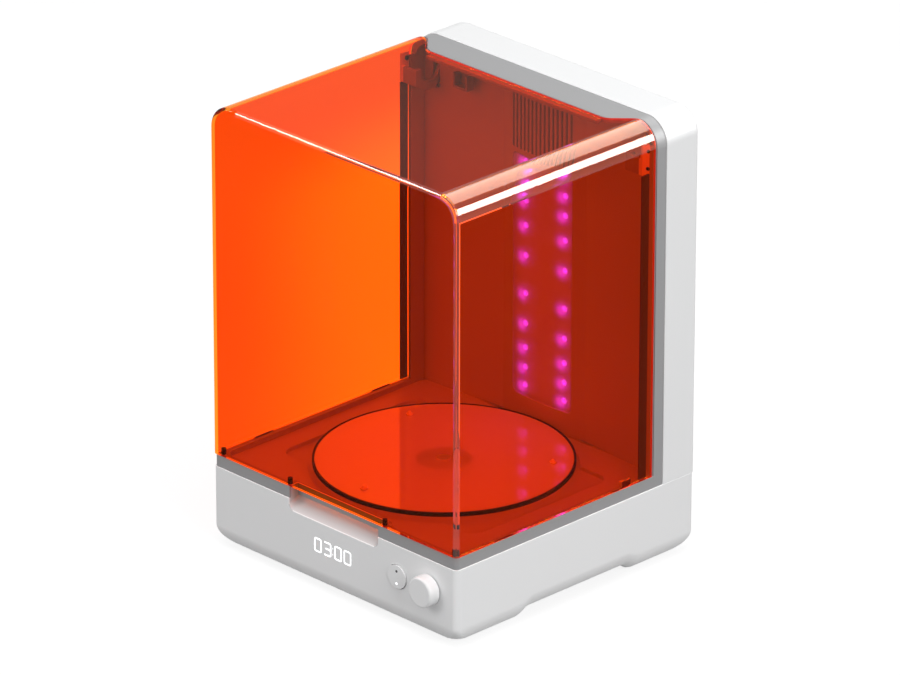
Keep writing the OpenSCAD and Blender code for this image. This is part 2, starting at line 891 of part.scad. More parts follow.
module hood() {
    color([1, 0.4, 0.05, 0.6])
    difference() {
        intersection() {
            along_y(front_y, hood_y)
                arch(hw, hood_z, top_z, hood_r);
            translate([0, 0, hood_z])
                linear_extrude(top_z - hood_z)
                    rounded(-hw, hw, front_y, hood_y + 20, hood_edge_r);
            along_x(-hw, hw)
                rounded(front_y, hood_y + 20, hood_z - 20, top_z, hood_edge_r);
        }
        along_y(front_y + hood_t, hood_y + cut)
            arch(hw - hood_t, hood_z - cut, top_z - hood_t, hood_r - hood_t);
        translate([0, 0, top_z - 2 * hood_t])
            linear_extrude(3 * hood_t)
                notch_plan(0);
        pair()
            for (z = screw_zs)
                rod_x(hw - hood_t - cut, hw - 1, screw_y, axis_z + z, 1.3);
    }
}

module hood_light_seal() {
    color([0.08, 0.08, 0.08])
    pair()
        box(hw - hood_t - 1.2, hw - hood_t, axis_y + foot_y0, axis_y + foot_y0 + foot_w, hood_z + 1,
            axis_z + foot_z0 - 1);
}

module hood_magnet() {
    color([0.5, 0.5, 0.5])
    box(hw - hood_t - 3, hw - hood_t, 52, 62, hood_z, hood_z + 5);
}

module hood_sensor() {
    color([0.2, 0.2, 0.2])
    box(liner_hw - ledge_w - 8, liner_hw - ledge_w - 1, 50, 64,
        floor_z - liner_wall - 5, floor_z - liner_wall);
}

module hood_buffers() {
    color([0.05, 0.05, 0.05])
    pair() {
        rod_z(block_half - 2, chamber_front - 1.6, band_z, band_z + 5, 2);
        rod_z(hw - 7, chamber_front - 1.2, band_z, band_z + 5, 2);
    }
}

module hood_rest_pads() {
    color([0.05, 0.05, 0.05])
    pair() {
        box(hw - hood_t, hw - rim_recess - 0.4, -90, -70, band_z, hood_z);
        box(hw - hood_t, hw - rim_recess - 0.4, 40, 60, band_z, hood_z);
    }
}

// Turntable and its drive
module turntable_glass() {
    color([0.9, 0.95, 0.95, 0.4])
    difference() {
        rod_z(0, table_y, glass_z, glass_top, glass_r);
        rod_z(0, table_y, glass_z - cut, glass_top + cut, 6);
        for (a = peg_angles)
            rod_z(peg_circle * cos(a), table_y + peg_circle * sin(a), glass_z - cut, glass_top + cut, 1.5);
    }
}

module turntable_ring() {
    color([0.03, 0.03, 0.03])
    difference() {
        rod_z(0, table_y, glass_z - 0.2, glass_top + 0.2, table_r);
        rod_z(0, table_y, glass_z - cut, glass_top + cut, glass_r);
    }
}

module turntable_pegs() {
    color([0.8, 0.8, 0.8])
    for (a = peg_angles)
        translate([peg_circle * cos(a), table_y + peg_circle * sin(a), 0]) {
            rod_z(0, 0, glass_top, glass_top + 1, 3);
            translate([0, 0, glass_top + 1])
                cylinder(r1 = 2.4, r2 = 1, h = 2);
            rod_z(0, 0, glass_z - 1.5, glass_top, 1.5);
            rod_z(0, 0, glass_z - 1.5, glass_z, 2.8);
        }
}

module turntable_hub() {
    color([0.75, 0.75, 0.77])
    difference() {
        union() {
            rod_z(0, table_y, well_z + 1.6, glass_z, 8);
            rod_z(0, table_y, glass_z - 3, glass_z, hub_disc_r);
            rod_z(0, table_y, glass_z, glass_top, 6);
        }
        rod_z(0, table_y, well_z, glass_z, shaft_r);
    }
}

module turntable_shaft() {
    color([0.8, 0.8, 0.82])
    rod_z(0, table_y, bracket_z - 6, glass_z, shaft_r);
}

module shaft_bush() {
    color([0.75, 0.6, 0.3])
    difference() {
        union() {
            rod_z(0, table_y, well_z, well_z + 1, 9);
            rod_z(0, table_y, well_z - liner_wall, well_z, 6);
        }
        rod_z(0, table_y, well_z - liner_wall - cut, well_z + 1 + cut, shaft_r + running);
    }
}

module turntable_motor() {
    color([0.55, 0.55, 0.57])
    difference() {
        union() {
            rod_z(0, table_y, bracket_z - motor_h, bracket_z, motor_r);
            rod_z(0, table_y, bracket_z, bracket_z + bracket_t, 6);
        }
        rod_z(0, table_y, bracket_z - 8, bracket_z + bracket_t + cut, shaft_r + running);
    }
}

module motor_bracket() {
    color([0.7, 0.7, 0.72])
    difference() {
        box(-30, 30, table_y - 30, table_y + 30, bracket_z, bracket_z + bracket_t);
        rod_z(0, table_y, bracket_z - cut, bracket_z + bracket_t + cut, 6);
        for (x = [-24, 24], y = [-24, 24])
            rod_z(x, table_y + y, bracket_z - cut, bracket_z + bracket_t + cut, 1.6);
    }
}

module motor_bracket_screws() {
    color([0.8, 0.8, 0.82])
    for (x = [-24, 24], y = [-24, 24]) {
        rod_z(x, table_y + y, bracket_z - 2, bracket_z, 2.8);
        rod_z(x, table_y + y, bracket_z, bracket_z + bracket_t, 1.6);
    }
}

// Power and control inside the base
module power_supply() {
    color([0.72, 0.72, 0.7])
    difference() {
        box(-128, -56, -8, 102, floor_top, floor_top + 32);
        box(-126, -58, -9, 6, floor_top + 14, floor_top + 33);
        for (i = [0:7])
            box(-116, -68, 20 + i * 9, 24 + i * 9, floor_top + 30, floor_top + 33);
    }
}

module main_board() {
    color([0.1, 0.35, 0.2])
    box(44, 126, -20, 100, floor_top + 6, floor_top + 6 + board_t);
}

module board_parts() {
    color([0.12, 0.12, 0.12])
    translate([0, 0, floor_top + 6 + board_t]) {
        box(70, 86, 20, 36, 0, 2);
        box(98, 106, 10, 22, 0, 6);
        box(52, 62, 60, 90, 0, 9);
        box(96, 122, 70, 86, 0, 11);
        for (i = [0:3])
            rod_z(72 + i * 12, 54, 0, 10, 4);
    }
}

module front_board() {
    color([0.1, 0.35, 0.2])
    box(-34, 128, board_front, board_front + board_t, 26, 55);
}

module display_module() {
    color([0.15, 0.15, 0.15])
    box(-26, 26, inner_front, board_front, 31, 49);
}

// Lit figures, each from bars: top, upper right, lower right, bottom, lower left, upper left, middle
display_z = 40.1;
digit_w = 8.4;
bar_w = 1.5;
bar_gap = 0.4;
dot_w = 1.2;
dot_x = -0.4;
digit_x = [-17.4, -6.4, 5.6, 16.3];
lit = [[1, 1, 1, 1, 1, 1, 0], [1, 1, 1, 1, 0, 0, 1], [1, 1, 1, 1, 1, 1, 0], [1, 1, 1, 1, 1, 1, 0]];

module figure_bars(on) {
    w = digit_w / 2;
    h = digit_h / 2;
    flat = digit_w - 2 * (bar_w + bar_gap);
    tall = h - bar_gap / 2;
    if (on[0]) translate([-flat / 2, h - bar_w]) square([flat, bar_w]);
    if (on[1]) translate([w - bar_w, h - tall]) square([bar_w, tall]);
    if (on[2]) translate([w - bar_w, -h]) square([bar_w, tall]);
    if (on[3]) translate([-flat / 2, -h]) square([flat, bar_w]);
    if (on[4]) translate([-w, -h]) square([bar_w, tall]);
    if (on[5]) translate([-w, h - tall]) square([bar_w, tall]);
    if (on[6]) translate([-flat / 2, -bar_w / 2]) square([flat, bar_w]);
}

module figures() {
    for (i = [0:3])
        translate([digit_x[i], display_z])
            figure_bars(lit[i]);
    for (z = [-2.6, 2.6])
        translate([dot_x - dot_w / 2, display_z + z - dot_w / 2])
            square([dot_w, dot_w]);
}

module digit_slots() {
    along_y(front_y - cut, inner_front + cut)
        figures();
}

module display_digits() {
    color([1, 1, 1])
    along_y(front_y - 0.1, inner_front)
        figures();
}

button_cap = 1.2;
button_travel = 0.8;
light_drop = 5.7;

module start_button() {
    color([0.86, 0.86, 0.86])
    difference() {
        union() {
            rod_y(button_x, button_z, front_y - button_cap, inner_front + 1.6, button_r);
            rod_y(button_x, button_z, inner_front + 0.3, inner_front + 1.6, button_r + 1.6);
            rod_y(button_x, button_z, inner_front + 1.6, inner_front + 4.1, 3);
        }
        rod_y(button_x, button_z - light_drop, front_y - 2 * button_cap, front_y + 1, 1.1);
    }
}

module button_light() {
    color([1, 1, 1])
    rod_y(button_x, button_z - light_drop, front_y - button_cap - 0.05, front_y + 1, 1.1);
}

module switch_plunger() {
    color([0.7, 0.7, 0.7])
    rod_y(button_x, button_z, inner_front + 4.1, board_front - 1.5, 1.75);
}

module button_switch() {
    color([0.15, 0.15, 0.15])
    difference() {
        box(button_x - 6, button_x + 6, board_front - 4, board_front, button_z - 6, button_z + 6);
        rod_y(button_x, button_z, board_front - 4 - cut, board_front - 0.5, 1.75 + 0.35);
    }
}

knob_gap = 0.8;
encoder_r = 3;

module control_knob() {
    color([0.87, 0.87, 0.87])
    difference() {
        union() {
            rod_y(knob_x, knob_z, front_y - knob_out + 1, front_y - knob_gap, knob_r);
            rod_y(knob_x, knob_z, front_y - knob_out, front_y - knob_gap, knob_r - 1);
            translate([knob_x, front_y - knob_out + 1, knob_z])
                rotate([90, 0, 0])
                    rotate_extrude()
                        translate([knob_r - 1, 0])
                            circle(1);
        }
        rod_y(knob_x, knob_z, front_y - knob_out + 4, front_y, encoder_r);
    }
}

module encoder_shaft() {
    color([0.8, 0.8, 0.82])
    rod_y(knob_x, knob_z, front_y - knob_out + 4, board_front - 1, encoder_r);
}

module encoder_rotor() {
    color([0.6, 0.6, 0.62])
    difference() {
        rod_y(knob_x, knob_z, inner_front + 0.5, board_front - 0.5, 4.5);
        rod_y(knob_x, knob_z, inner_front, board_front, encoder_r + running);
    }
}

module encoder_body() {
    color([0.2, 0.2, 0.22])
    difference() {
        box(knob_x - 6.5, knob_x + 6.5, board_front - 6, board_front, knob_z - 6.5, knob_z + 6.5);
        rod_y(knob_x, knob_z, board_front - 6 - cut, board_front + cut, 4.5 + running);
    }
}

// Rear connections
inlet_d = 22;
pin_back = 5;

module mains_inlet() {
    color([0.08, 0.08, 0.08])
    difference() {
        box(inlet_x - 14, inlet_x + 14, rear_y - inlet_d, rear_y, inlet_z - 10.5, inlet_z + 10.5);
        box(inlet_x - 12, inlet_x + 12, rear_y - 17, rear_y + cut, inlet_z - 8.25, inlet_z + 8.25);
        for (p = [[-7, 2], [0, -2], [7, 2]])
            box(inlet_x + p[0] - 1, inlet_x + p[0] + 1, rear_y - inlet_d - cut, rear_y, inlet_z + p[1] - 2,
                inlet_z + p[1] + 2);
    }
}

module inlet_pins() {
    color([0.8, 0.75, 0.5])
    for (p = [[-7, 2], [0, -2], [7, 2]])
        box(inlet_x + p[0] - 1, inlet_x + p[0] + 1, rear_y - inlet_d - 6, rear_y - pin_back,
            inlet_z + p[1] - 2, inlet_z + p[1] + 2);
}

rocker_y = rear_y - 6.8;
rocker_tilt = 7;

module power_switch_frame() {
    color([0.08, 0.08, 0.08])
    difference() {
        box(switch_x - 7.5, switch_x + 7.5, rear_y - 16, rear_y - 1.4, switch_z - 11, switch_z + 11);
        box(switch_x - 5.5, switch_x + 5.5, rear_y - 12, rear_y, switch_z - 9.2, switch_z + 9.2);
        rod_x(switch_x - 7, switch_x + 7, rocker_y, switch_z, 1.2 + 0.06);
    }
}

module power_rocker() {
    color([0.12, 0.12, 0.12])
    translate([0, rocker_y, switch_z])
        rotate([rocker_tilt, 0, 0]) {
            along_x(switch_x - 5.1, switch_x + 5.1)
                polygon([[-3, -3], [-3, 3], [1.5, 8], [5.6, 8], [4.6, 0], [5.6, -8], [1.5, -8]]);
            rod_x(switch_x - 6.7, switch_x + 6.7, 0, 0, 1.2);
        }
}

base_shell();
bottom_plate();
bottom_screws();
rubber_feet();
chamber_rim();
chamber_floor();
chamber_back();
rear_housing();
rear_cover();
rear_cover_screws();
lamp_window();
lamp_board();
lamp_emitters();
lamp_heat_sink();
air_heater();
fan_frame();
fan_rotor();
temperature_sensor();
hinge_crossbar();
hinge_block_left();
hinge_block_right();
hinge_pins();
hood();
hinge_arm_left();
hinge_arm_right();
hinge_screws();
hood_light_seal();
hood_magnet();
hood_sensor();
hood_buffers();
hood_rest_pads();
turntable_glass();
turntable_ring();
turntable_pegs();
turntable_hub();
turntable_shaft();
shaft_bush();
turntable_motor();
motor_bracket();
motor_bracket_screws();
power_supply();
main_board();
board_parts();
front_board();
display_module();
display_digits();
start_button();
button_light();
switch_plunger();
button_switch();
control_knob();
encoder_shaft();
encoder_rotor();
encoder_body();
mains_inlet();
inlet_pins();
power_switch_frame();
power_rocker();
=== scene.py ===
"""Benchtop light curing unit, built up as it is put together: base, frame, lamps, air system,
rear housing, hinge, hood, turntable, controls, electrics, and then the table and the light."""
import bpy
import bmesh
import math
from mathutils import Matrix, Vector


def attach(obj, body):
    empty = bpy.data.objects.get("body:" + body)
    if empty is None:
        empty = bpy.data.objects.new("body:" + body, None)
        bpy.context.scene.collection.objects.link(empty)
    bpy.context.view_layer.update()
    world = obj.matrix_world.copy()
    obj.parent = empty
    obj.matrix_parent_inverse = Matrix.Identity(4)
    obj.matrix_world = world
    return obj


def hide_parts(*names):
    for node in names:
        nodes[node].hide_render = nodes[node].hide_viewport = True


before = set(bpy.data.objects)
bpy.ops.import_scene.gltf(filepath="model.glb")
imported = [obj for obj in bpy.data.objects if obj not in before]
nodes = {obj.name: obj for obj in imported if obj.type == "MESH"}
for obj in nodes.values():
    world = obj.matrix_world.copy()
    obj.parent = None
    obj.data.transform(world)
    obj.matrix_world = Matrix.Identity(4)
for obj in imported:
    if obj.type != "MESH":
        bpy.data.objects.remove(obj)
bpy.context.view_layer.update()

# Camera: a long lens from the right and a little above, as for product pictures of such units.
# It stands 6.5 m off, aims at the unit's middle and is rolled by a tenth of a degree.
aim = Vector((0.0, -0.00506, 0.18525))
turn, lift, tilt, distance = math.radians(45.50), math.radians(23.92), math.radians(0.09), 6.4685
level = math.cos(lift)
outward = Vector((math.sin(turn) * level, -math.cos(turn) * level, math.sin(lift)))
lens = bpy.data.cameras.new("product_camera")
lens.lens = 326.6
lens.sensor_width = 36.0
lens.clip_end = 40.0
camera = bpy.data.objects.new("product_camera", lens)
bpy.context.scene.collection.objects.link(camera)
camera.location = aim + distance * outward
camera.rotation_euler = (-outward).to_track_quat("-Z", "Y").to_matrix().to_euler()
camera.rotation_euler.rotate_axis("Z", tilt)
bpy.context.scene.camera = camera

# Base shell: one injection-moulded ABS tub, white, with a fine spark-eroded grain. Its lower edges
# are rolled to 18 mm and the corners melt into them; the finger recess is cut into its front.
front, back, half = -134.0, 132.5, 138.5
base_foot, base_top, base_wall, base_roll, base_corner = 1.0, 70.0, 3.0, 18.0, 5.0
arch_start, arch_end, arch_run, arch_rise = -62.0, 70.5, 14.0, 4.0
button_x, button_z, knob_x, knob_z = 73.0, 43.5, 108.3, 45.0


def piece(name, mesh, body):
    made = bpy.data.objects.new(name, mesh)
    bpy.context.scene.collection.objects.link(made)
    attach(made, body)
    return made


def mesh_of(name, points, faces):
    """A clean mesh from points in millimetres."""
    mesh = bpy.data.meshes.new(name)
    mesh.from_pydata([(x / 1000, y / 1000, z / 1000) for x, y, z in points], [], faces)
    mesh.update()
    tidy = bmesh.new()
    tidy.from_mesh(mesh)
    bmesh.ops.remove_doubles(tidy, verts=tidy.verts, dist=2e-6)
    bmesh.ops.recalc_face_normals(tidy, faces=tidy.faces)
    tidy.to_mesh(mesh)
    tidy.free()
    return mesh


def smooth(made, angle=30.0, weighted=True):
    made.data.polygons.foreach_set("use_smooth", [True] * len(made.data.polygons))
    made.data.set_sharp_from_angle(angle=math.radians(angle))
    if weighted:
        made.modifiers.new("even_shading", "WEIGHTED_NORMAL").keep_sharp = True
    return made


def rounded_ring(x0, x1, y0, y1, r, steps=12):
    """A rectangle with round corners, from the front right corner on and against the clock."""
    ring = []
    left, right, near, far = x0 + r, x1 - r, y0 + r, y1 - r
    for cx, cy, start in ((right, near, -90), (right, far, 0), (left, far, 90), (left, near, 180)):
        for k in range(steps + 1):
            a = math.radians(start + 90 * k / steps)
            ring.append((cx + r * math.cos(a), cy + r * math.sin(a)))
    return ring


def lofted(rings):
    """A closed skin over rings of equal length, with its two ends filled, as (points, faces)."""
    size = len(rings[0])
    points = [p for ring in rings for p in ring]
    faces = []
    for j in range(len(rings) - 1):
        for i in range(size):
            k = (i + 1) % size
            faces.append((j * size + i, j * size + k, (j + 1) * size + k, (j + 1) * size + i))
    faces.append(tuple(reversed(range(size))))
    faces.append(tuple((len(rings) - 1) * size + i for i in range(size)))
    return points, faces


def combine(made, operation, solids):
    """Adds solids to a piece with UNION, or cuts them out of it with DIFFERENCE."""
    for solid in solids:
        tool = bpy.data.objects.new("tool", solid)
        bpy.context.scene.collection.objects.link(tool)
        saw = made.modifiers.new("saw", "BOOLEAN")
        saw.operation = operation
        saw.solver = "EXACT"
        saw.object = tool
        bpy.context.view_layer.update()
        shaped = made.evaluated_get(bpy.context.evaluated_depsgraph_get())
        result = bpy.data.meshes.new_from_object(shaped)
        made.modifiers.remove(saw)
        made.data = result
        bpy.data.objects.remove(tool)


def block(x0, x1, y0, y1, z0, z1):
    ring = [(x0, y0), (x1, y0), (x1, y1), (x0, y1)]
    return mesh_of("block", *lofted([[(x, y, z) for x, y in ring] for z in (z0, z1)]))


def round_bar(centre, axis, length, r, steps=64):
    """A straight round bar that starts at centre and runs along axis ('Y' or 'Z')."""
    cx, cy, cz = centre
    rings = []
    for d in (0.0, length):
        ring = []
        for k in range(steps):
            a = 2 * math.pi * k / steps
            u, v = r * math.cos(a), r * math.sin(a)
            ring.append((cx + u, cy + d, cz + v) if axis == "Y" else (cx + u, cy + v, cz + d))
        rings.append(ring)
    return mesh_of("bar", *lofted(rings))


def blank_material(name):
    mat = bpy.data.materials.new(name)
    mat.use_nodes = True
    return mat, mat.node_tree, mat.node_tree.nodes["Principled BSDF"]


def set_plain(shader, **values):
    """Sets sockets that are the same all over; an underscore in a name stands for a space."""
    for label, value in values.items():
        shader.inputs[label.replace("_", " ")].default_value = value


def feed(tree, source, slot):
    """Gives an input its source, which is another node's output or a plain value."""
    if isinstance(source, bpy.types.NodeSocket):
        tree.links.new(source, slot)
    else:
        slot.default_value = source


def worked_out(tree, operation, *sources):
    """The result of one sum with plain values or other nodes' outputs."""
    node = tree.nodes.new("ShaderNodeMath")
    node.operation = operation
    for source, slot in zip(sources, node.inputs):
        feed(tree, source, slot)
    return node.outputs[0]


def noise(tree, scale, detail=2.0, roughness=0.5, placed=True):
    """Noise from 0 to 1, in the object's own metres when it is placed."""
    node = tree.nodes.new("ShaderNodeTexNoise")
    feed(tree, scale, node.inputs["Scale"])
    set_plain(node, Detail=detail, Roughness=roughness)
    if placed:
        where = tree.nodes.new("ShaderNodeTexCoord")
        tree.links.new(where.outputs["Object"], node.inputs["Vector"])
    return node.outputs["Fac"]


def new_group(name, inputs, outputs):
    group = bpy.data.node_groups.new(name, "ShaderNodeTree")
    for label, kind, value in inputs:
        socket = group.interface.new_socket(label, in_out="INPUT", socket_type=kind)
        socket.default_value = value
    for label, kind in outputs:
        group.interface.new_socket(label, in_out="OUTPUT", socket_type=kind)
    given = group.nodes.new("NodeGroupInput").outputs
    return group, given, group.nodes.new("NodeGroupOutput").inputs


def surface_group():
    """Mould grain, slow tone drift and softened corners, shared by every solid finish."""
    number, colour, vector = "NodeSocketFloat", "NodeSocketColor", "NodeSocketVector"
    group, given, result = new_group(
        "moulded_surface",
        [("Colour", colour, (0.8, 0.8, 0.8, 1)), ("Drift", number, 0.03),
         ("Grain per metre", number, 1400.0), ("Depth", number, 0.1), ("Roughness", number, 0.4),
         ("Roughness spread", number, 0.06), ("Edge radius", number, 0.0004)],
        [("Colour", colour), ("Roughness", number), ("Normal", vector)])
    link = group.links.new
    slow = noise(group, 14.0, detail=4.0)
    grain = noise(group, given["Grain per metre"], detail=3.0, roughness=0.6)
    off_middle = worked_out(group, "SUBTRACT", slow, 0.5)
    shade = group.nodes.new("ShaderNodeVectorMath")
    shade.operation = "SCALE"
    link(given["Colour"], shade.inputs[0])
    link(worked_out(group, "MULTIPLY_ADD", off_middle, given["Drift"], 1.0), shade.inputs["Scale"])
    link(shade.outputs[0], result["Colour"])
    uneven = worked_out(group, "SUBTRACT", grain, 0.5)
    link(worked_out(group, "MULTIPLY_ADD", uneven, given["Roughness spread"], given["Roughness"]),
         result["Roughness"])
    soft = group.nodes.new("ShaderNodeBevel")
    soft.samples = 4
    link(given["Edge radius"], soft.inputs["Radius"])
    bump = group.nodes.new("ShaderNodeBump")
    bump.inputs["Distance"].default_value = 0.00005
    link(given["Depth"], bump.inputs["Strength"])
    link(grain, bump.inputs["Height"])
    link(soft.outputs[0], bump.inputs["Normal"])
    link(bump.outputs[0], result["Normal"])
    return group


moulded_surface = surface_group()


def finish(name, colour, rough, metallic=0.0, drift=0.03, grain=1400.0, depth=0.15, spread=0.06,
           edge=0.0004, **plain):
    """A solid finish: colour, roughness and metal, and how far the shared surface varies them."""
    mat, tree, shader = blank_material(name)
    surface = tree.nodes.new("ShaderNodeGroup")
    surface.node_tree = moulded_surface
    set_plain(surface, Colour=(*colour, 1), Drift=drift, Grain_per_metre=grain, Depth=depth,
              Roughness=rough, Roughness_spread=spread, Edge_radius=edge)
    tree.links.new(surface.outputs["Colour"], shader.inputs["Base Color"])
    tree.links.new(surface.outputs["Roughness"], shader.inputs["Roughness"])
    tree.links.new(surface.outputs["Normal"], shader.inputs["Normal"])
    set_plain(shader, Metallic=metallic, **plain)
    mat.diffuse_color = (*colour, 1)
    return mat


def wear(mat, *names):
    """Gives CAD nodes, or pieces, this finish all over."""
    for name in names:
        thing = nodes[name] if isinstance(name, str) else name
        thing.data.materials.clear()
        thing.data.materials.append(mat)


def base_ring(inset, r, z):
    """A ring of the base, with points on its long sides where the arches between the feet rise."""
    rising = [arch_start + arch_run * k / 6 for k in range(7)]
    falling = [arch_end - arch_run + arch_run * k / 6 for k in range(7)]
    arch_y = rising + [-20, 26] + falling
    ring = rounded_ring(inset - half, half - inset, front + inset, back - inset, r, 14)
    right = [(ring[14][0], y) for y in arch_y]
    left = [(ring[44][0], y) for y in reversed(arch_y)]
    return [(x, y, z) for x, y in ring[:15] + right + ring[15:45] + left + ring[45:]]


base_rings = []
for k in range(13):
    phi = math.radians(90 * k / 12)
    inset = base_roll * (1 - math.sin(phi))
    height = base_foot + base_roll * (1 - math.cos(phi))
    base_rings.append(base_ring(inset, base_corner + 0.95 * inset, height))
for inset, height in ((0.0, base_top - 0.3), (0.25, base_top), (base_wall, base_top)):
    base_rings.append(base_ring(inset, base_corner - inset, height))
inner_roll, floor_angle = base_roll - base_wall, 42.8
for k in range(6, -1, -1):
    phi = math.radians(floor_angle + (90 - floor_angle) * k / 6)
    deeper = inner_roll * (1 - math.sin(phi))
    height = base_foot + base_wall + inner_roll * (1 - math.cos(phi))
    base_rings.append(base_ring(base_wall + deeper, base_corner - base_wall + 0.8 * deeper, height))
base = piece("base_housing", mesh_of("base_housing", *lofted(base_rings)), "housing")


def recess_cutter():
    """The recess: a slope from a rounded lip to an upright wall, with round corners."""
    bottom, corner, above = 60.5, 6.0, 84.0
    outline = []
    for cx, start in ((-44.5, 180), (44.5, 270)):
        for k in range(7):
            a = math.radians(start + 90 * k / 6)
            outline.append((cx + corner * math.cos(a), bottom + corner + corner * math.sin(a)))
    outline += [(50.5, above), (-50.5, above)]
    rings = []
    for depth, lowest, lip in ((-3.0, bottom, 0.6), (0.0, bottom, 0.6),
                               (0.5, bottom, 0.0), (10.3, 70.0069, 0.0)):
        ring = []
        for x, z in outline:
            low = z if z == above else max(z, lowest) - lip
            ring.append((x + math.copysign(lip, x), front + depth, low))
        rings.append(ring)
    return mesh_of("recess", *lofted(rings))


def soft_step(t):
    t = min(max(t, 0.0), 1.0)
    return t * t * (3 - 2 * t)


def leg_arch():
    """The low arch between the feet, right across the base, with a soft S at each end."""
    outline = [(arch_start, base_foot)]
    for k in range(1, 9):
        outline.append((arch_start + arch_run * k / 8, base_foot + arch_rise * soft_step(k / 8)))
    for k in range(9):
        outline.append((arch_end - arch_run + arch_run * k / 8,
                        base_foot + arch_rise - arch_rise * soft_step(k / 8)))
    outline += [(arch_end, -1.0), (arch_start, -1.0)]
    return mesh_of("leg_arch", *lofted([[(x, y, z) for y, z in outline] for x in (-140.0, 140.0)]))


# The recess has a lining inside the wall and a collar above it. Then these are cut out: the recess,
# the arch, the opening underneath with its rebate, the button's and knob's holes, the foot pockets.
lining = block(-53.1, 53.1, -131.6, -121.2, 56, 65.8)
collar = block(-51.7, 51.7, -131.2, -122.5, 65.7, 80.3)
combine(base, "UNION", [lining, collar])
cutters = [recess_cutter(), leg_arch(),
           block(-95, 95, -40, 48, 0, 12), block(-101.2, 101.2, -46.2, 54.2, 0, 6.5),
           round_bar((button_x, front - 2, button_z), "Y", 6, 10.4),
           round_bar((knob_x, front - 2, knob_z), "Y", 6, 5.5)]
cutters += [round_bar((x, y, 0), "Z", 2.5, 9.1) for x in (-105, 105) for y in (-105, 103.5)]
combine(base, "DIFFERENCE", cutters)

# Between the feet the rolled edge rises with the arch and comes down again in a soft S at each end.
# The rise is 5 mm at the bottom of the roll and fades out up the side and towards the underside.
edge_rise, roll_inside, roll_top, fade_up, fade_in = 0.005, 103.0, 42.0, 32.0, 14.0
for v in base.data.vertices:
    x, y, z = (1000 * c for c in v.co)
    if abs(x) > roll_inside and z < roll_top:
        along = soft_step(min(y - arch_start, arch_end - y) / arch_run)
        low = soft_step((roll_top - z) / fade_up)
        v.co.z += edge_rise * along * low * min((abs(x) - roll_inside) / fade_in, 1.0)
smooth(base, 28)
white_shell = finish("white_shell", (0.83, 0.835, 0.84), 0.42, drift=0.015, depth=0.12, edge=0.0005)
wear(white_shell, base)


def ranged(tree, value, low, high, to_low=0.0, to_high=1.0, way="LINEAR"):
    """Brings a value that runs from low to high to one from to_low to to_high."""
    node = tree.nodes.new("ShaderNodeMapRange")
    node.interpolation_type = way
    for label, source in (("Value", value), ("From Min", low), ("From Max", high),
                          ("To Min", to_low), ("To Max", to_high)):
        feed(tree, source, node.inputs[label])
    return node.outputs[0]


def two_tone(tree, value, low, high, low_at=0.0, high_at=1.0):
    """A colour that runs from low to high as the value goes from low_at to high_at."""
    node = tree.nodes.new("ShaderNodeValToRGB")
    for stop, place, colour in zip(node.color_ramp.elements, (low_at, high_at), (low, high)):
        stop.position = place
        stop.color = (*colour, 1)
    tree.links.new(value, node.inputs["Fac"])
    return node.outputs["Color"]


def own_place(tree):
    """The X, Y and Z of a point in the object's own metres."""
    where = tree.nodes.new("ShaderNodeTexCoord")
    split = tree.nodes.new("ShaderNodeSeparateXYZ")
    tree.links.new(where.outputs["Object"], split.inputs[0])
    return split.outputs


def graded(mat, axis, low, high, low_colour, high_colour):
    """Lets a finish's colour run from one tone to another along Y, or outwards for 'side'."""
    tree = mat.node_tree
    place = own_place(tree)
    along = worked_out(tree, "ABSOLUTE", place["X"]) if axis == "side" else place[axis]
    colour = two_tone(tree, ranged(tree, along, low, high), low_colour, high_colour)
    for node in tree.nodes:
        if node.type == "GROUP":
            tree.links.new(colour, node.inputs["Colour"])
    return mat


# The recess faces get their own grey with painted shade: darker and bluer from the lip back to the
# upright wall. It stands in for the shade under the hood, and the blue cancels the orange light
# that comes through the hood.
recess_painted_shade = finish("recess_painted_shade", (0.45, 0.47, 0.48), 0.5, drift=0.02, depth=0.15)
base.data.materials.append(graded(recess_painted_shade, "Y", -0.1335, -0.1265,
                                  (0.52, 0.53, 0.535), (0.26, 0.32, 0.335)))
for face in base.data.polygons:
    x, y, z = (1000 * c for c in face.center)
    if abs(x) < 50.6 and -133.9 < y < -123.6 and 60.4 < z < 80.2:
        face.material_index = 1
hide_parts("base_shell")

# Under the base: a zinc-plated sheet cover in a rebate, held by four screws, and four rubber pads
# that are stuck into round pockets.
zinc_sheet = finish("zinc_sheet", (0.62, 0.63, 0.65), 0.38, 1.0, drift=0.12, grain=420, depth=0.08,
                    spread=0.16)
plated_screw = finish("plated_screw", (0.70, 0.70, 0.72), 0.28, 1.0, drift=0.05, grain=2600,
                      spread=0.12, edge=0.0003)
black_rubber = finish("black_rubber", (0.010, 0.010, 0.011), 0.62, drift=0.2, grain=2400, depth=0.3,
                      edge=0.0005, Specular_IOR_Level=0.2)
wear(zinc_sheet, "bottom_plate", "motor_bracket", "hinge_crossbar")
wear(plated_screw, "bottom_screws", "rear_cover_screws", "motor_bracket_screws")
wear(black_rubber, "rubber_feet")

# Grey frame: the band under the hood and the arch in front of the rear housing, one ABS moulding
# with a matte grain. The floor pan and the back wall of the chamber are of a lighter grey.
grey_frame = finish("grey_frame", (0.285, 0.285, 0.29), 0.5, drift=0.02, depth=0.2, edge=0.0007)
grey_liner = finish("grey_liner", (0.42, 0.42, 0.42), 0.46, drift=0.03, depth=0.2, edge=0.0012)
wear(grey_frame, "chamber_rim")
wear(grey_liner, "chamber_floor", "chamber_back")

# Lamps: two columns of violet lamp domes on a white aluminium-core board, behind a bowed clear
# window with a painted violet glow round each lamp, which stands in for their light scattered in
# it. A finned aluminium sink cools the board.
lamp_middle, lamp_reach, lamp_bottom, dome_r, dome_high = 201.1, 22.0, 100.05, 2.5, 1.3
lamp_heights = [lamp_middle + s * h for h in (16.5, 42.7, 64.1, 81.2, 97.0) for s in (1, -1)]
lamp_places = [(x, z) for x in (-lamp_reach, lamp_reach) for z in lamp_heights]
violet_light = (0.016, 0.002, 1.0)


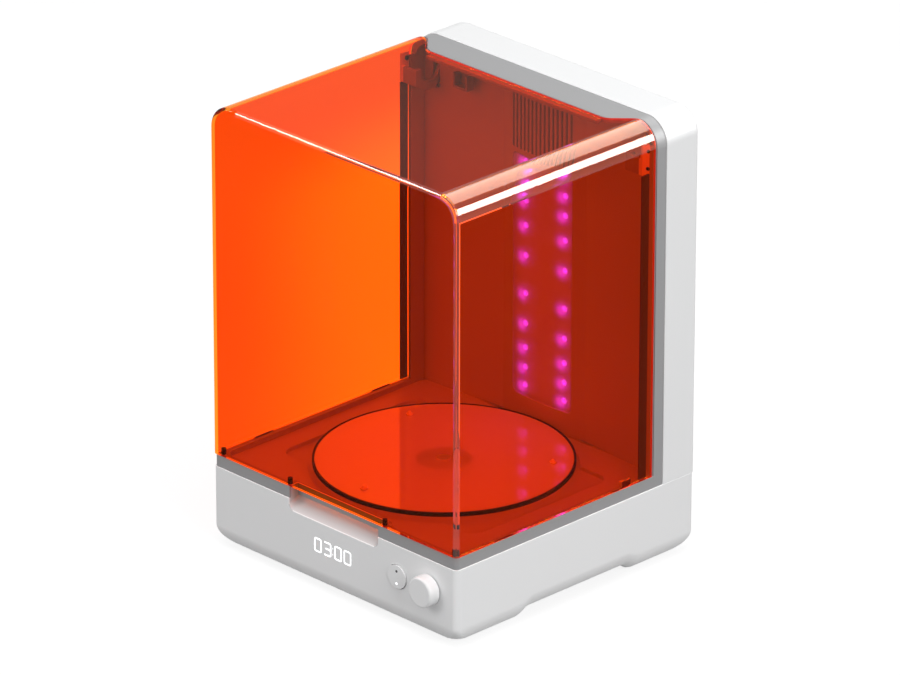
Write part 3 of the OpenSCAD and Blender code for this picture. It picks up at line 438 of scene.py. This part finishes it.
def turned(name, profile, places, axis="Y", steps=32):
    """Lathe-turned bodies: profile is (radius, distance along axis) from one end to the other."""
    points, faces = [], []
    for px, py, pz in places:
        for r, d in profile:
            for k in range(steps):
                a = 2 * math.pi * k / steps
                u, v = max(r, 1e-4) * math.cos(a), max(r, 1e-4) * math.sin(a)
                points.append((px + u, py + d, pz + v) if axis == "Y" else (px + u, py + v, pz + d))
        start = len(points) - len(profile) * steps
        for j in range(len(profile) - 1):
            for k in range(steps):
                m = (k + 1) % steps
                faces.append((start + j * steps + k, start + j * steps + m,
                              start + (j + 1) * steps + m, start + (j + 1) * steps + k))
    return mesh_of(name, points, faces)


def lit_finish(name, grain, low, high, strength, rough=0.5):
    """A surface that shines in the colour it has, with a fine speckle from low to high."""
    mat, tree, shader = blank_material(name)
    colour = two_tone(tree, noise(tree, grain, placed=False), low, high)
    tree.links.new(colour, shader.inputs["Base Color"])
    tree.links.new(colour, shader.inputs["Emission Color"])
    set_plain(shader, Roughness=rough, Emission_Strength=strength)
    return mat


dome = [(0.0, 0.0)]
for a in range(15, 91, 15):
    dome.append((dome_r * math.sin(math.radians(a)), dome_high * (1 - math.cos(math.radians(a)))))
dome += [(dome_r + 0.1, dome_high), (dome_r + 0.1, dome_high + 0.2), (0.0, dome_high + 0.2)]
dome_mesh = turned("lamp_domes", dome, [(x, lamp_bottom, z) for x, z in lamp_places])
lamps = piece("lamp_domes", dome_mesh, "housing")
smooth(lamps, 50, False)
violet = lit_finish("violet_lamp", 900.0, violet_light, (0.026, 0.005, 1.0), 60.0, 0.15)
violet.cycles.emission_sampling = "NONE"
wear(violet, lamps)
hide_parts("lamp_emitters")

board_white = finish("board_white", (0.46, 0.46, 0.48), 0.35, drift=0.04, grain=900)
aluminium = finish("extruded_aluminium", (0.72, 0.73, 0.75), 0.34, 1.0, drift=0.08, grain=600,
                   spread=0.14)
wear(board_white, "lamp_board")
wear(aluminium, "lamp_heat_sink", "turntable_hub")


def halo_group(places):
    """How near a point of the window is to a lit lamp, 1 at the lamp and 0 from the reach on: the
    mask of the painted glow.
    """
    group, given, result = new_group("lamp_halo", [("Reach", "NodeSocketFloat", 0.012)],
                                     [("Halo", "NodeSocketFloat")])
    where = group.nodes.new("ShaderNodeTexCoord")
    total = None
    for x, z in places:
        far = group.nodes.new("ShaderNodeVectorMath")
        far.operation = "DISTANCE"
        far.inputs[1].default_value = (x / 1000, 0.098, z / 1000)
        group.links.new(where.outputs["Object"], far.inputs[0])
        near = ranged(group, far.outputs["Value"], 0.0, given["Reach"], 1.0, 0.0, "SMOOTHERSTEP")
        total = near if total is None else worked_out(group, "ADD", total, near)
    group.links.new(total, result["Halo"])
    return group


window_painted_glow, tree, shader = blank_material("lamp_window_painted_glow")
halo = tree.nodes.new("ShaderNodeGroup")
halo.node_tree = halo_group(lamp_places)
halo.inputs["Reach"].default_value = 0.0105
# Painted glow: violet emission on the window round each lamp, fading out over the halo's reach.
shine = two_tone(tree, halo.outputs["Halo"], (0.0, 0.0, 0.0), violet_light)
shine.node.color_ramp.elements.new(0.45).color = (0.004, 0.0004, 0.25, 1)
tree.links.new(shine, shader.inputs["Emission Color"])
set_plain(shader, Base_Color=(0.95, 0.93, 0.97, 1), Roughness=0.12, Transmission_Weight=0.0,
          IOR=1.49, Alpha=0.30, Emission_Strength=50.0)
window_painted_glow.cycles.emission_sampling = "NONE"
wear(window_painted_glow, "lamp_window")

# Air system behind the grille: a 60 mm fan of black glass-filled plastic blows through a finned
# heater of blackened metal. A small grey hook on the back wall feels the chamber's heat.
dark_plastic = finish("dark_plastic", (0.022, 0.022, 0.024), 0.45, drift=0.12, grain=1800,
                      depth=0.25)
heater_black = finish("heater_black", (0.035, 0.035, 0.037), 0.42, 0.4, drift=0.1, grain=900)
sensor_grey = finish("sensor_grey", (0.22, 0.22, 0.225), 0.5, drift=0.06, grain=1600)
wear(dark_plastic, "fan_frame", "fan_rotor", "mains_inlet", "power_switch_frame")
wear(heater_black, "air_heater")
wear(sensor_grey, "temperature_sensor")

# Rear housing: a deep white ABS moulding with 21.5 mm round shoulders that stands on the base and
# closes the chamber from behind. Its back is open under the rear cover, which is screwed on.
roof, rear_front, rear_r, skin_wall, edge_roll = 382.5, 96.4, 21.5, 3.0, 3.5


def arch_line(foot, r, roof_x=(), steps=20):
    """Points of a doorway's outline with their outward directions, from left foot to right foot."""
    straight = foot + 0.4 * (roof - foot)
    line = [(-half, foot, -1.0, 0.0), (-half, straight, -1.0, 0.0)]
    for k in range(steps + 1):
        a = math.radians(180 - 90 * k / steps)
        u, v = math.cos(a), math.sin(a)
        line.append((r - half + r * u, roof - r + r * v, u, v))
    line += [(x, roof, 0.0, 1.0) for x in roof_x]
    for k in range(steps + 1):
        a = math.radians(90 - 90 * k / steps)
        u, v = math.cos(a), math.sin(a)
        line.append((half - r + r * u, roof - r + r * v, u, v))
    return line + [(half, straight, 1.0, 0.0), (half, foot, 1.0, 0.0)]


def arched_shell(name, line, open_edge, closed_y, rim=0.3):
    """A box that is open at one end: its skin follows line from the open edge, whose place is given
    for each x, to closed_y, where its edges are rolled."""
    way = 1 if closed_y > open_edge(0.0) else -1

    def strip(x, z, nx, nz, lip, off, r, steps):
        """The skin over one point of the line, at a depth of off: open edge, roll, closed end."""
        run = [(lip, open_edge(x)), (off, open_edge(x) + way * rim)]
        for k in range(steps + 1):
            phi = math.radians(90 * k / steps)
            inward, short = r * (1 - math.cos(phi)), r * (1 - math.sin(phi))
            run.append((off + inward, closed_y - way * (off + short)))
        run.append((off + r + 0.8, closed_y - way * off))
        return [(x - nx * d, y, z - nz * d) for d, y in run]

    inner_r = max(edge_roll - skin_wall, 0.8)
    outer = [strip(*at, rim, 0.0, edge_roll, 10) for at in line]
    inner = [strip(*at, skin_wall - rim, skin_wall, inner_r, 6) for at in line]
    points, faces, index = [], [], {}
    for tag, grid in (("o", outer), ("i", inner)):
        for i, run in enumerate(grid):
            for j, p in enumerate(run):
                index[tag, i, j] = len(points)
                points.append(p)
        for i in range(len(grid) - 1):
            for j in range(len(grid[0]) - 1):
                faces.append((index[tag, i, j], index[tag, i + 1, j],
                              index[tag, i + 1, j + 1], index[tag, i, j + 1]))
    last = len(line) - 1
    jo, ji = len(outer[0]) - 1, len(inner[0]) - 1
    faces.append(tuple(index["o", i, jo] for i in range(last + 1)))
    faces.append(tuple(index["i", i, ji] for i in range(last, -1, -1)))
    for i in range(last):
        faces.append((index["o", i, 0], index["i", i, 0],
                      index["i", i + 1, 0], index["o", i + 1, 0]))
    for i in (0, last):
        foot = [index["o", i, j] for j in range(jo + 1)]
        faces.append(tuple(foot + [index["i", i, j] for j in range(ji, -1, -1)]))
    faces.append((index["o", 0, jo], index["o", last, jo],
                  index["i", last, ji], index["i", 0, ji]))
    return mesh_of(name, points, faces)


rear_line = arch_line(base_top, rear_r, (-60, 0, 60))
rear_mesh = arched_shell("rear_shell", rear_line, lambda x: rear_front, back)
rear = piece("rear_shell", rear_mesh, "housing")
combine(rear, "DIFFERENCE", [block(-100, 100, 128, 134, 100, 342)])
smooth(rear, 28)
wear(white_shell, rear)
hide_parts("rear_housing")
wear(white_shell, "rear_cover")

# Hinge: steel blocks on a zinc-plated crossbar carry hardened pins; the goosenecked arms are of
# glass-filled nylon and are screwed to the hood's sides with blackened screws.
brushed_steel = finish("brushed_steel", (0.66, 0.66, 0.68), 0.30, 1.0, drift=0.06, grain=1500,
                       spread=0.2)
arm_nylon = graded(finish("arm_nylon", (0.5, 0.5, 0.5), 0.5, drift=0.05, grain=1600, depth=0.3),
                   "side", 0.1312, 0.1318, (0.27, 0.27, 0.275), (0.72, 0.72, 0.73))
black_screw = finish("black_screw", (0.02, 0.02, 0.022), 0.35, 1.0, drift=0.1, grain=2600,
                     edge=0.0003)
wear(brushed_steel, "hinge_block_left", "hinge_block_right", "hinge_pins", "turntable_shaft",
     "switch_plunger", "encoder_shaft", "encoder_rotor")
wear(arm_nylon, "hinge_arm_left", "hinge_arm_right")
wear(black_screw, "hinge_screws")

# Hood: 3 mm amber acrylic, moulded in one piece with 20 mm round shoulders and a 3.5 mm roll round
# its front. Its rear edge steps forward over the roof in a soft S.
hood_foot, hood_r = 80.8, 20.0


def roof_edge(x):
    """Where the hood ends to the rear: forward over the middle, further back at the sides."""
    far, r, forward, rear_end, start, end = abs(x), 12.0, 65.5, 83.9, 95.0, 123.34
    bend = r * math.sin(math.pi / 4)
    if far <= start:
        return forward
    if far >= end:
        return rear_end
    if far <= start + bend:
        return forward + r - math.sqrt(r * r - (far - start) ** 2)
    if far >= end - bend:
        return rear_end - r + math.sqrt(r * r - (end - far) ** 2)
    return forward + r * (1 - math.cos(math.pi / 4)) + (far - start - bend)


def mixed(tree, share, first, second):
    mix = tree.nodes.new("ShaderNodeMixShader")
    for source, slot in zip((share, first.outputs[0], second.outputs[0]), mix.inputs):
        tree.links.new(source, slot)
    return mix


def let_light_in(tree, shader, tint):
    """Light and its bounces pass straight through, tinted, and only what is seen is refracted."""
    path = tree.nodes.new("ShaderNodeLightPath").outputs
    through = tree.nodes.new("ShaderNodeBsdfTransparent")
    through.inputs["Color"].default_value = (*tint, 1)
    either = worked_out(tree, "MAXIMUM", path["Is Shadow Ray"], path["Is Diffuse Ray"])
    mix = mixed(tree, either, shader, through)
    tree.links.new(mix.outputs[0], tree.nodes["Material Output"].inputs["Surface"])


def amber_acrylic(name, bend, green, blue, glow=0.0):
    """bend is how it refracts, green and blue what it lets through, glow the strength of a painted
    red glow on an edge.
    """
    mat, tree, shader = blank_material(name)
    colour = two_tone(tree, noise(tree, 3.0), (1.0, 0.94 * green, 0.9 * blue),
                      (1.0, 1.06 * green, 1.1 * blue), 0.3, 0.7)
    tree.links.new(colour, shader.inputs["Base Color"])
    set_plain(shader, Transmission_Weight=1.0, IOR=bend, Roughness=0.0,
              Emission_Color=(1.0, 0.02, 0.004, 1), Emission_Strength=glow)
    let_light_in(tree, shader, (1.0, 0.36, 0.1))
    return mat


roof_x = [1.5 * k - 117.0 for k in range(16)] + [-92, -60, -20, 20, 60, 92]
roof_x += [1.5 * k + 94.5 for k in range(16)]
hood_line = arch_line(hood_foot, hood_r, roof_x, 28)
hood = piece("hood_window", arched_shell("hood_window", hood_line, roof_edge, front), "hood")
smooth(hood, 35)
wear(amber_acrylic("amber_sheet", 1.09, 0.26, 0.014), hood)
hood.data.materials.append(amber_acrylic("amber_rounding", 1.49, 0.30, 0.020))
# The hood's cut edges get a painted red glow, as emission, standing in for light that the acrylic
# carries to its edges.
hood.data.materials.append(amber_acrylic("amber_edge_painted_glow", 1.2, 0.02, 0.003, 0.25))
# Painted reflection: the more strongly reflecting rounding copy goes only on the right shoulder and
# the front roll, so only they catch the strip lights' highlight. The left shoulder gets the weakly
# reflecting sheet, whose low bend keeps flat faces nearly free of reflections.
for face in hood.data.polygons:
    x, y, z = (1000 * c for c in face.center)
    shoulder = x > half - hood_r + 0.1 and z > roof - hood_r + 0.1
    front_rim = y < front + edge_roll - 0.1 and x > -110 and min(half - x, roof - z) < 3.6
    if z < hood_foot + 0.4 or abs(face.normal.y) > 0.4 and y > 60:
        face.material_index = 2
    elif shoulder or front_rim:
        face.material_index = 1
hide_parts("hood")

# On the hood: dark grey foam light seals along its rear edges and a nickel-plated magnet, which the
# sensor under the floor pan feels. Rubber buffers and pads on the band take the closing hood.
nickel = finish("nickel", (0.60, 0.60, 0.62), 0.25, 1.0, drift=0.05, grain=2000)
component = finish("component", (0.03, 0.03, 0.033), 0.5, drift=0.2, grain=1500)
seal_foam = finish("seal_foam", (0.085, 0.08, 0.08), 0.8, drift=0.12, grain=1100, depth=0.35,
                   Specular_IOR_Level=0.2)
wear(seal_foam, "hood_light_seal")
wear(black_rubber, "hood_buffers", "hood_rest_pads")
wear(nickel, "hood_magnet")
wear(component, "hood_sensor")

# Turntable: a clear float-glass disc in a black rubber ring, with three moulded pegs, on an
# aluminium hub. A gearmotor under the floor turns it by a steel shaft in a sintered bronze bush.
table_y, table_low, table_high, table_r, peg_circle = -11.3, 80.0, 83.0, 103.2, 86.7
disc = [(0.0, table_low), (table_r - 0.2, table_low), (table_r, table_low + 0.2),
        (table_r, table_high - 0.2), (table_r - 0.2, table_high), (0.0, table_high)]
disc_mesh = turned("table_disc", disc, [(0.0, table_y, 0.0)], "Z", 128)
glass = piece("table_disc", disc_mesh, "turntable")
holes = []
for a in (-91, 39, 154):
    u, v = math.cos(math.radians(a)), math.sin(math.radians(a))
    holes.append(round_bar((peg_circle * u, peg_circle * v + table_y, table_low - 1), "Z", 5, 1.5))
holes.append(round_bar((0.0, table_y, table_low - 1), "Z", 5, 6.0))
combine(glass, "DIFFERENCE", holes)
smooth(glass, 30)
table_glass, tree, shader = blank_material("table_glass")
tree.links.new(ranged(tree, noise(tree, 60.0), 0.0, 1.0, 0.0, 0.03), shader.inputs["Roughness"])
set_plain(shader, Transmission_Weight=0.6, IOR=1.5, Base_Color=(0.92, 0.94, 0.93, 1))
let_light_in(tree, shader, (0.96, 0.98, 0.98))
bronze = finish("sintered_bronze", (0.60, 0.44, 0.22), 0.42, 1.0, drift=0.15, grain=2500, depth=0.3)
motor_metal = finish("motor_can", (0.42, 0.42, 0.44), 0.35, 1.0, drift=0.08, grain=800)
peg_plastic = finish("peg_plastic", (0.75, 0.76, 0.77), 0.2, drift=0.03, grain=1200, depth=0.05)
wear(table_glass, glass)
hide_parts("turntable_glass")
wear(black_rubber, "turntable_ring")
wear(peg_plastic, "turntable_pegs")
wear(bronze, "shaft_bush")
wear(motor_metal, "turntable_motor")

# Display: lit bars shine through the white skin, as four figures and a colon. The module behind
# them is moulded black.
lit_white = lit_finish("lit_white", 300.0, (0.93, 0.96, 1.0), (1.0, 1.0, 1.0), 1.0)
wear(lit_white, "button_light")
figure_height, figure_width, figure_middle, stroke, bend_r = 12.2, 8.4, 40.1, 1.25, 1.6


def rounded_path(corners, r, closed):
    """A line through corners that turns at each of them in an even bend."""
    path, count = [], len(corners)
    for k, (x, z) in enumerate(corners):
        if not closed and k in (0, count - 1):
            path.append((x, z))
            continue
        x0, z0 = corners[k - 1]
        x1, z1 = corners[(k + 1) % count]
        a = math.hypot(x0 - x, z0 - z)
        b = math.hypot(x1 - x, z1 - z)
        start = (x + (x0 - x) * r / a, z + (z0 - z) * r / a)
        stop = (x + (x1 - x) * r / b, z + (z1 - z) * r / b)
        for j in range(6):
            t = j / 5
            path.append(tuple((1 - t) ** 2 * s + 2 * t * (1 - t) * m + t * t * e
                              for s, m, e in zip(start, (x, z), stop)))
    return path


def ribbon(path, closed, wide, y0, y1):
    """A bar of even width that follows path, from y0 to y1 in depth, as (points, faces)."""
    count = len(path)
    points, faces = [], []
    for k, (x, z) in enumerate(path):
        xa, za = path[k - 1] if closed or k else path[k]
        xb, zb = path[(k + 1) % count] if closed or k < count - 1 else path[k]
        long = math.hypot(xb - xa, zb - za)
        nx, nz = -(zb - za) / long * wide / 2, (xb - xa) / long * wide / 2
        points += [(x + nx, y0, z + nz), (x - nx, y0, z - nz),
                   (x - nx, y1, z - nz), (x + nx, y1, z + nz)]
    for k in range(count if closed else count - 1):
        m = (k + 1) % count
        for j in range(4):
            i = (j + 1) % 4
            faces.append((4 * k + j, 4 * k + i, 4 * m + i, 4 * m + j))
    if not closed:
        faces += [(0, 1, 2, 3), tuple(4 * (count - 1) + j for j in (3, 2, 1, 0))]
    return points, faces


def figure(x0, shape):
    """The bars of a nought or a three, centred on x0, each with whether it is closed."""
    w, h = figure_width / 2 - stroke / 2, figure_height / 2 - stroke / 2
    left, right, low, high = x0 - w, x0 + w, figure_middle - h, figure_middle + h
    if shape == "0":
        ring = [(left, low), (right, low), (right, high), (left, high)]
        return [(rounded_path(ring, bend_r, True), True)]
    hook = rounded_path([(left, high), (right, high), (right, low), (left, low)], bend_r, False)
    return [(hook, False), ([(left + 1.4, figure_middle), (right, figure_middle)], False)]


points, faces = [], []
for x0, shape in zip((-17.4, -6.4, 5.6, 16.3), "0300"):
    for path, closed in figure(x0, shape):
        p, f = ribbon(path, closed, stroke, front - 0.08, front + 0.4)
        faces += [tuple(i + len(points) for i in face) for face in f]
        points += p
figures = piece("display_figures", mesh_of("display_figures", points, faces), "housing")
smooth(figures, 40, False)
wear(lit_white, figures)
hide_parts("display_digits")
dot = [(0.0, -0.06), (0.45, -0.06), (0.5, 0.0), (0.5, 0.3), (0.0, 0.3)]
dot_places = [(-0.4, front, z) for z in (37.5, 42.7)]
colon = piece("display_colon", turned("display_colon", dot, dot_places, "Y", 20), "housing")
smooth(colon, 40, False)
wear(lit_white, colon)
wear(component, "display_module", "button_switch", "encoder_body", "board_parts", "power_rocker")

# Start button and knob: smooth white caps. The button's sits in a ring gap, with a dark pip above
# its lamp; the knob is a plain drum with a soft front edge, on the encoder's shaft.
cap_white = finish("cap_white", (0.83, 0.835, 0.84), 0.36, drift=0.012, depth=0.05, edge=0.0004)
wear(cap_white, "start_button")
knob_r, knob_front, knob_roll = 12.8, -11.0, 2.2
drum = [(0.0, knob_front + 0.1), (6.0, knob_front + 0.05)]
for a in range(0, 91, 10):
    drum.append((knob_r - knob_roll + knob_roll * math.sin(math.radians(a)),
                 knob_front + knob_roll * (1 - math.cos(math.radians(a)))))
drum += [(knob_r, -1.2), (knob_r - 0.4, -0.8), (3.0, -0.8), (3.0, -7.0), (0.0, -7.0)]
knob = piece("knob_drum", turned("knob_drum", drum, [(knob_x, front, knob_z)], "Y", 96), "knob")
smooth(knob, 40)
wear(cap_white, knob)
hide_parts("control_knob")
dark_dot = [(0.0, -1.26), (1.15, -1.26), (1.2, -1.2), (1.2, -0.9), (0.0, -0.9)]
pip_mesh = turned("button_pip", dark_dot, [(button_x, front, button_z + 4.9)], "Y", 24)
pip = piece("button_pip", pip_mesh, "start_key")
smooth(pip, 40, False)
wear(dark_plastic, pip)

# Electrics in the base: a caged power supply, and a main board and a front board of green laminate.
# The mains inlet's contacts are bright brass.
board_green = finish("board_green", (0.02, 0.16, 0.06), 0.3, drift=0.25, grain=500, depth=0.1)
cage_metal = finish("cage_metal", (0.60, 0.61, 0.63), 0.4, 1.0, drift=0.1, grain=350, spread=0.15)
contact_brass = finish("contact_brass", (0.78, 0.68, 0.38), 0.3, 1.0, drift=0.05, grain=1500)
wear(board_green, "main_board", "front_board")
wear(cage_metal, "power_supply")
wear(contact_brass, "inlet_pins")

# The table and the room: a white sweep that shows white to the eye and lights the unit only weakly.
# It is one large sheet under the feet, and the world carries the same white up behind it.
table_reach = 12.0


def seen_directly(tree):
    """1 where it is looked at, also through glass or in a mirror, and 0 where it gives light."""
    path = tree.nodes.new("ShaderNodeLightPath").outputs
    either = worked_out(tree, "MAXIMUM", path["Is Camera Ray"], path["Is Transmission Ray"])
    return worked_out(tree, "MAXIMUM", either, path["Is Glossy Ray"])


def backdrop(name, corners, mat):
    mesh = bpy.data.meshes.new(name)
    mesh.from_pydata(corners, [], [(0, 1, 2, 3)])
    mesh.materials.append(mat)
    made = bpy.data.objects.new(name, mesh)
    bpy.context.scene.collection.objects.link(made)
    return made


pale, tree, shader = blank_material("pale_table")
set_plain(shader, Base_Color=(0.20, 0.20, 0.20, 1), Roughness=0.9, Specular_IOR_Level=0.1)
shine = tree.nodes.new("ShaderNodeEmission")
set_plain(shine, Color=(1, 1, 1, 1), Strength=0.84)
shining = tree.nodes.new("ShaderNodeAddShader")
tree.links.new(shader.outputs[0], shining.inputs[0])
tree.links.new(shine.outputs[0], shining.inputs[1])
table_look = mixed(tree, seen_directly(tree), shader, shining)
tree.links.new(table_look.outputs[0], tree.nodes["Material Output"].inputs["Surface"])
backdrop("table_top", [(-table_reach, -table_reach, 0), (table_reach, -table_reach, 0),
                       (table_reach, table_reach, 0), (-table_reach, table_reach, 0)], pale)

room = bpy.data.worlds.new("white_room")
room.use_nodes = True
tree = room.node_tree
tree.nodes.clear()
lighting = tree.nodes.new("ShaderNodeBackground")
set_plain(lighting, Color=(1, 1, 1, 1), Strength=0.44)
shown = tree.nodes.new("ShaderNodeBackground")
set_plain(shown, Color=(1, 1, 1, 1), Strength=1.0)
room_look = mixed(tree, seen_directly(tree), lighting, shown)
tree.links.new(room_look.outputs[0], tree.nodes.new("ShaderNodeOutputWorld").inputs["Surface"])
bpy.context.scene.world = room


# Studio light: three large soft boxes light the unit, and three strips only mirror in its round
# shoulders and rolled edges, so they make its highlights without any wash of light.
def soft_light(name, place, target, wide, tall, watts, mirrored_only=False):
    lamp = bpy.data.lights.new(name, "AREA")
    lamp.shape = "RECTANGLE"
    lamp.size, lamp.size_y = wide, tall
    lamp.energy = watts
    held = bpy.data.objects.new(name, lamp)
    bpy.context.scene.collection.objects.link(held)
    held.location = place
    held.rotation_euler = (Vector(target) - Vector(place)).to_track_quat("-Z", "Y").to_euler()
    held.visible_diffuse = not mirrored_only


unit_middle, right_shoulder, left_edge = (0.0, 0.0, 0.25), (0.13, 0.0, 0.37), (0.0, -0.134, 0.38)
soft_light("shoulder_strip", (1.20, 1.05, 0.86), right_shoulder, 1.4, 0.62, 60, True)
soft_light("shoulder_wide", (0.0, 1.2, 1.80), right_shoulder, 1.7, 1.2, 34, True)
soft_light("edge_light", (-1.17, -0.86, 1.53), left_edge, 0.6, 0.6, 28, True)
soft_light("right_fill", (3.0, -0.6, 1.6), unit_middle, 1.6, 1.6, 53)
soft_light("top_fill", (0.6, -0.6, 3.4), unit_middle, 2.0, 2.0, 41)
soft_light("front_fill", (-1.2, -3.0, 1.8), unit_middle, 1.6, 1.6, 29)

# A glowing card stands behind the hood's left wall and paints light into it: it shines brighter to
# the rear, fades out to plain white above, and is only seen through the amber.
painted_light_card, tree, shader = blank_material("painted_light_card")
place = own_place(tree)
towards_rear = ranged(tree, place["Y"], -0.08, 0.13, 1.0, 2.4, "SMOOTHSTEP")
strength = tree.nodes.new("ShaderNodeMix")
feed(tree, ranged(tree, place["Z"], 0.22, 0.31, 0.0, 1.0, "SMOOTHSTEP"), strength.inputs["Factor"])
feed(tree, towards_rear, strength.inputs["A"])
feed(tree, 1.0, strength.inputs["B"])
shine = tree.nodes.new("ShaderNodeEmission")
tree.links.new(strength.outputs["Result"], shine.inputs["Strength"])
tree.links.new(shine.outputs[0], tree.nodes["Material Output"].inputs["Surface"])
card = backdrop("painted_light_card_sheet", [(-0.2, -0.2, 0.03), (-0.2, 0.2, 0.03), (-0.2, 0.2, 0.42),
                               (-0.2, -0.2, 0.42)], painted_light_card)
card.visible_camera = card.visible_diffuse = card.visible_glossy = card.visible_shadow = False
bpy.context.scene.view_settings.view_transform = "Standard"
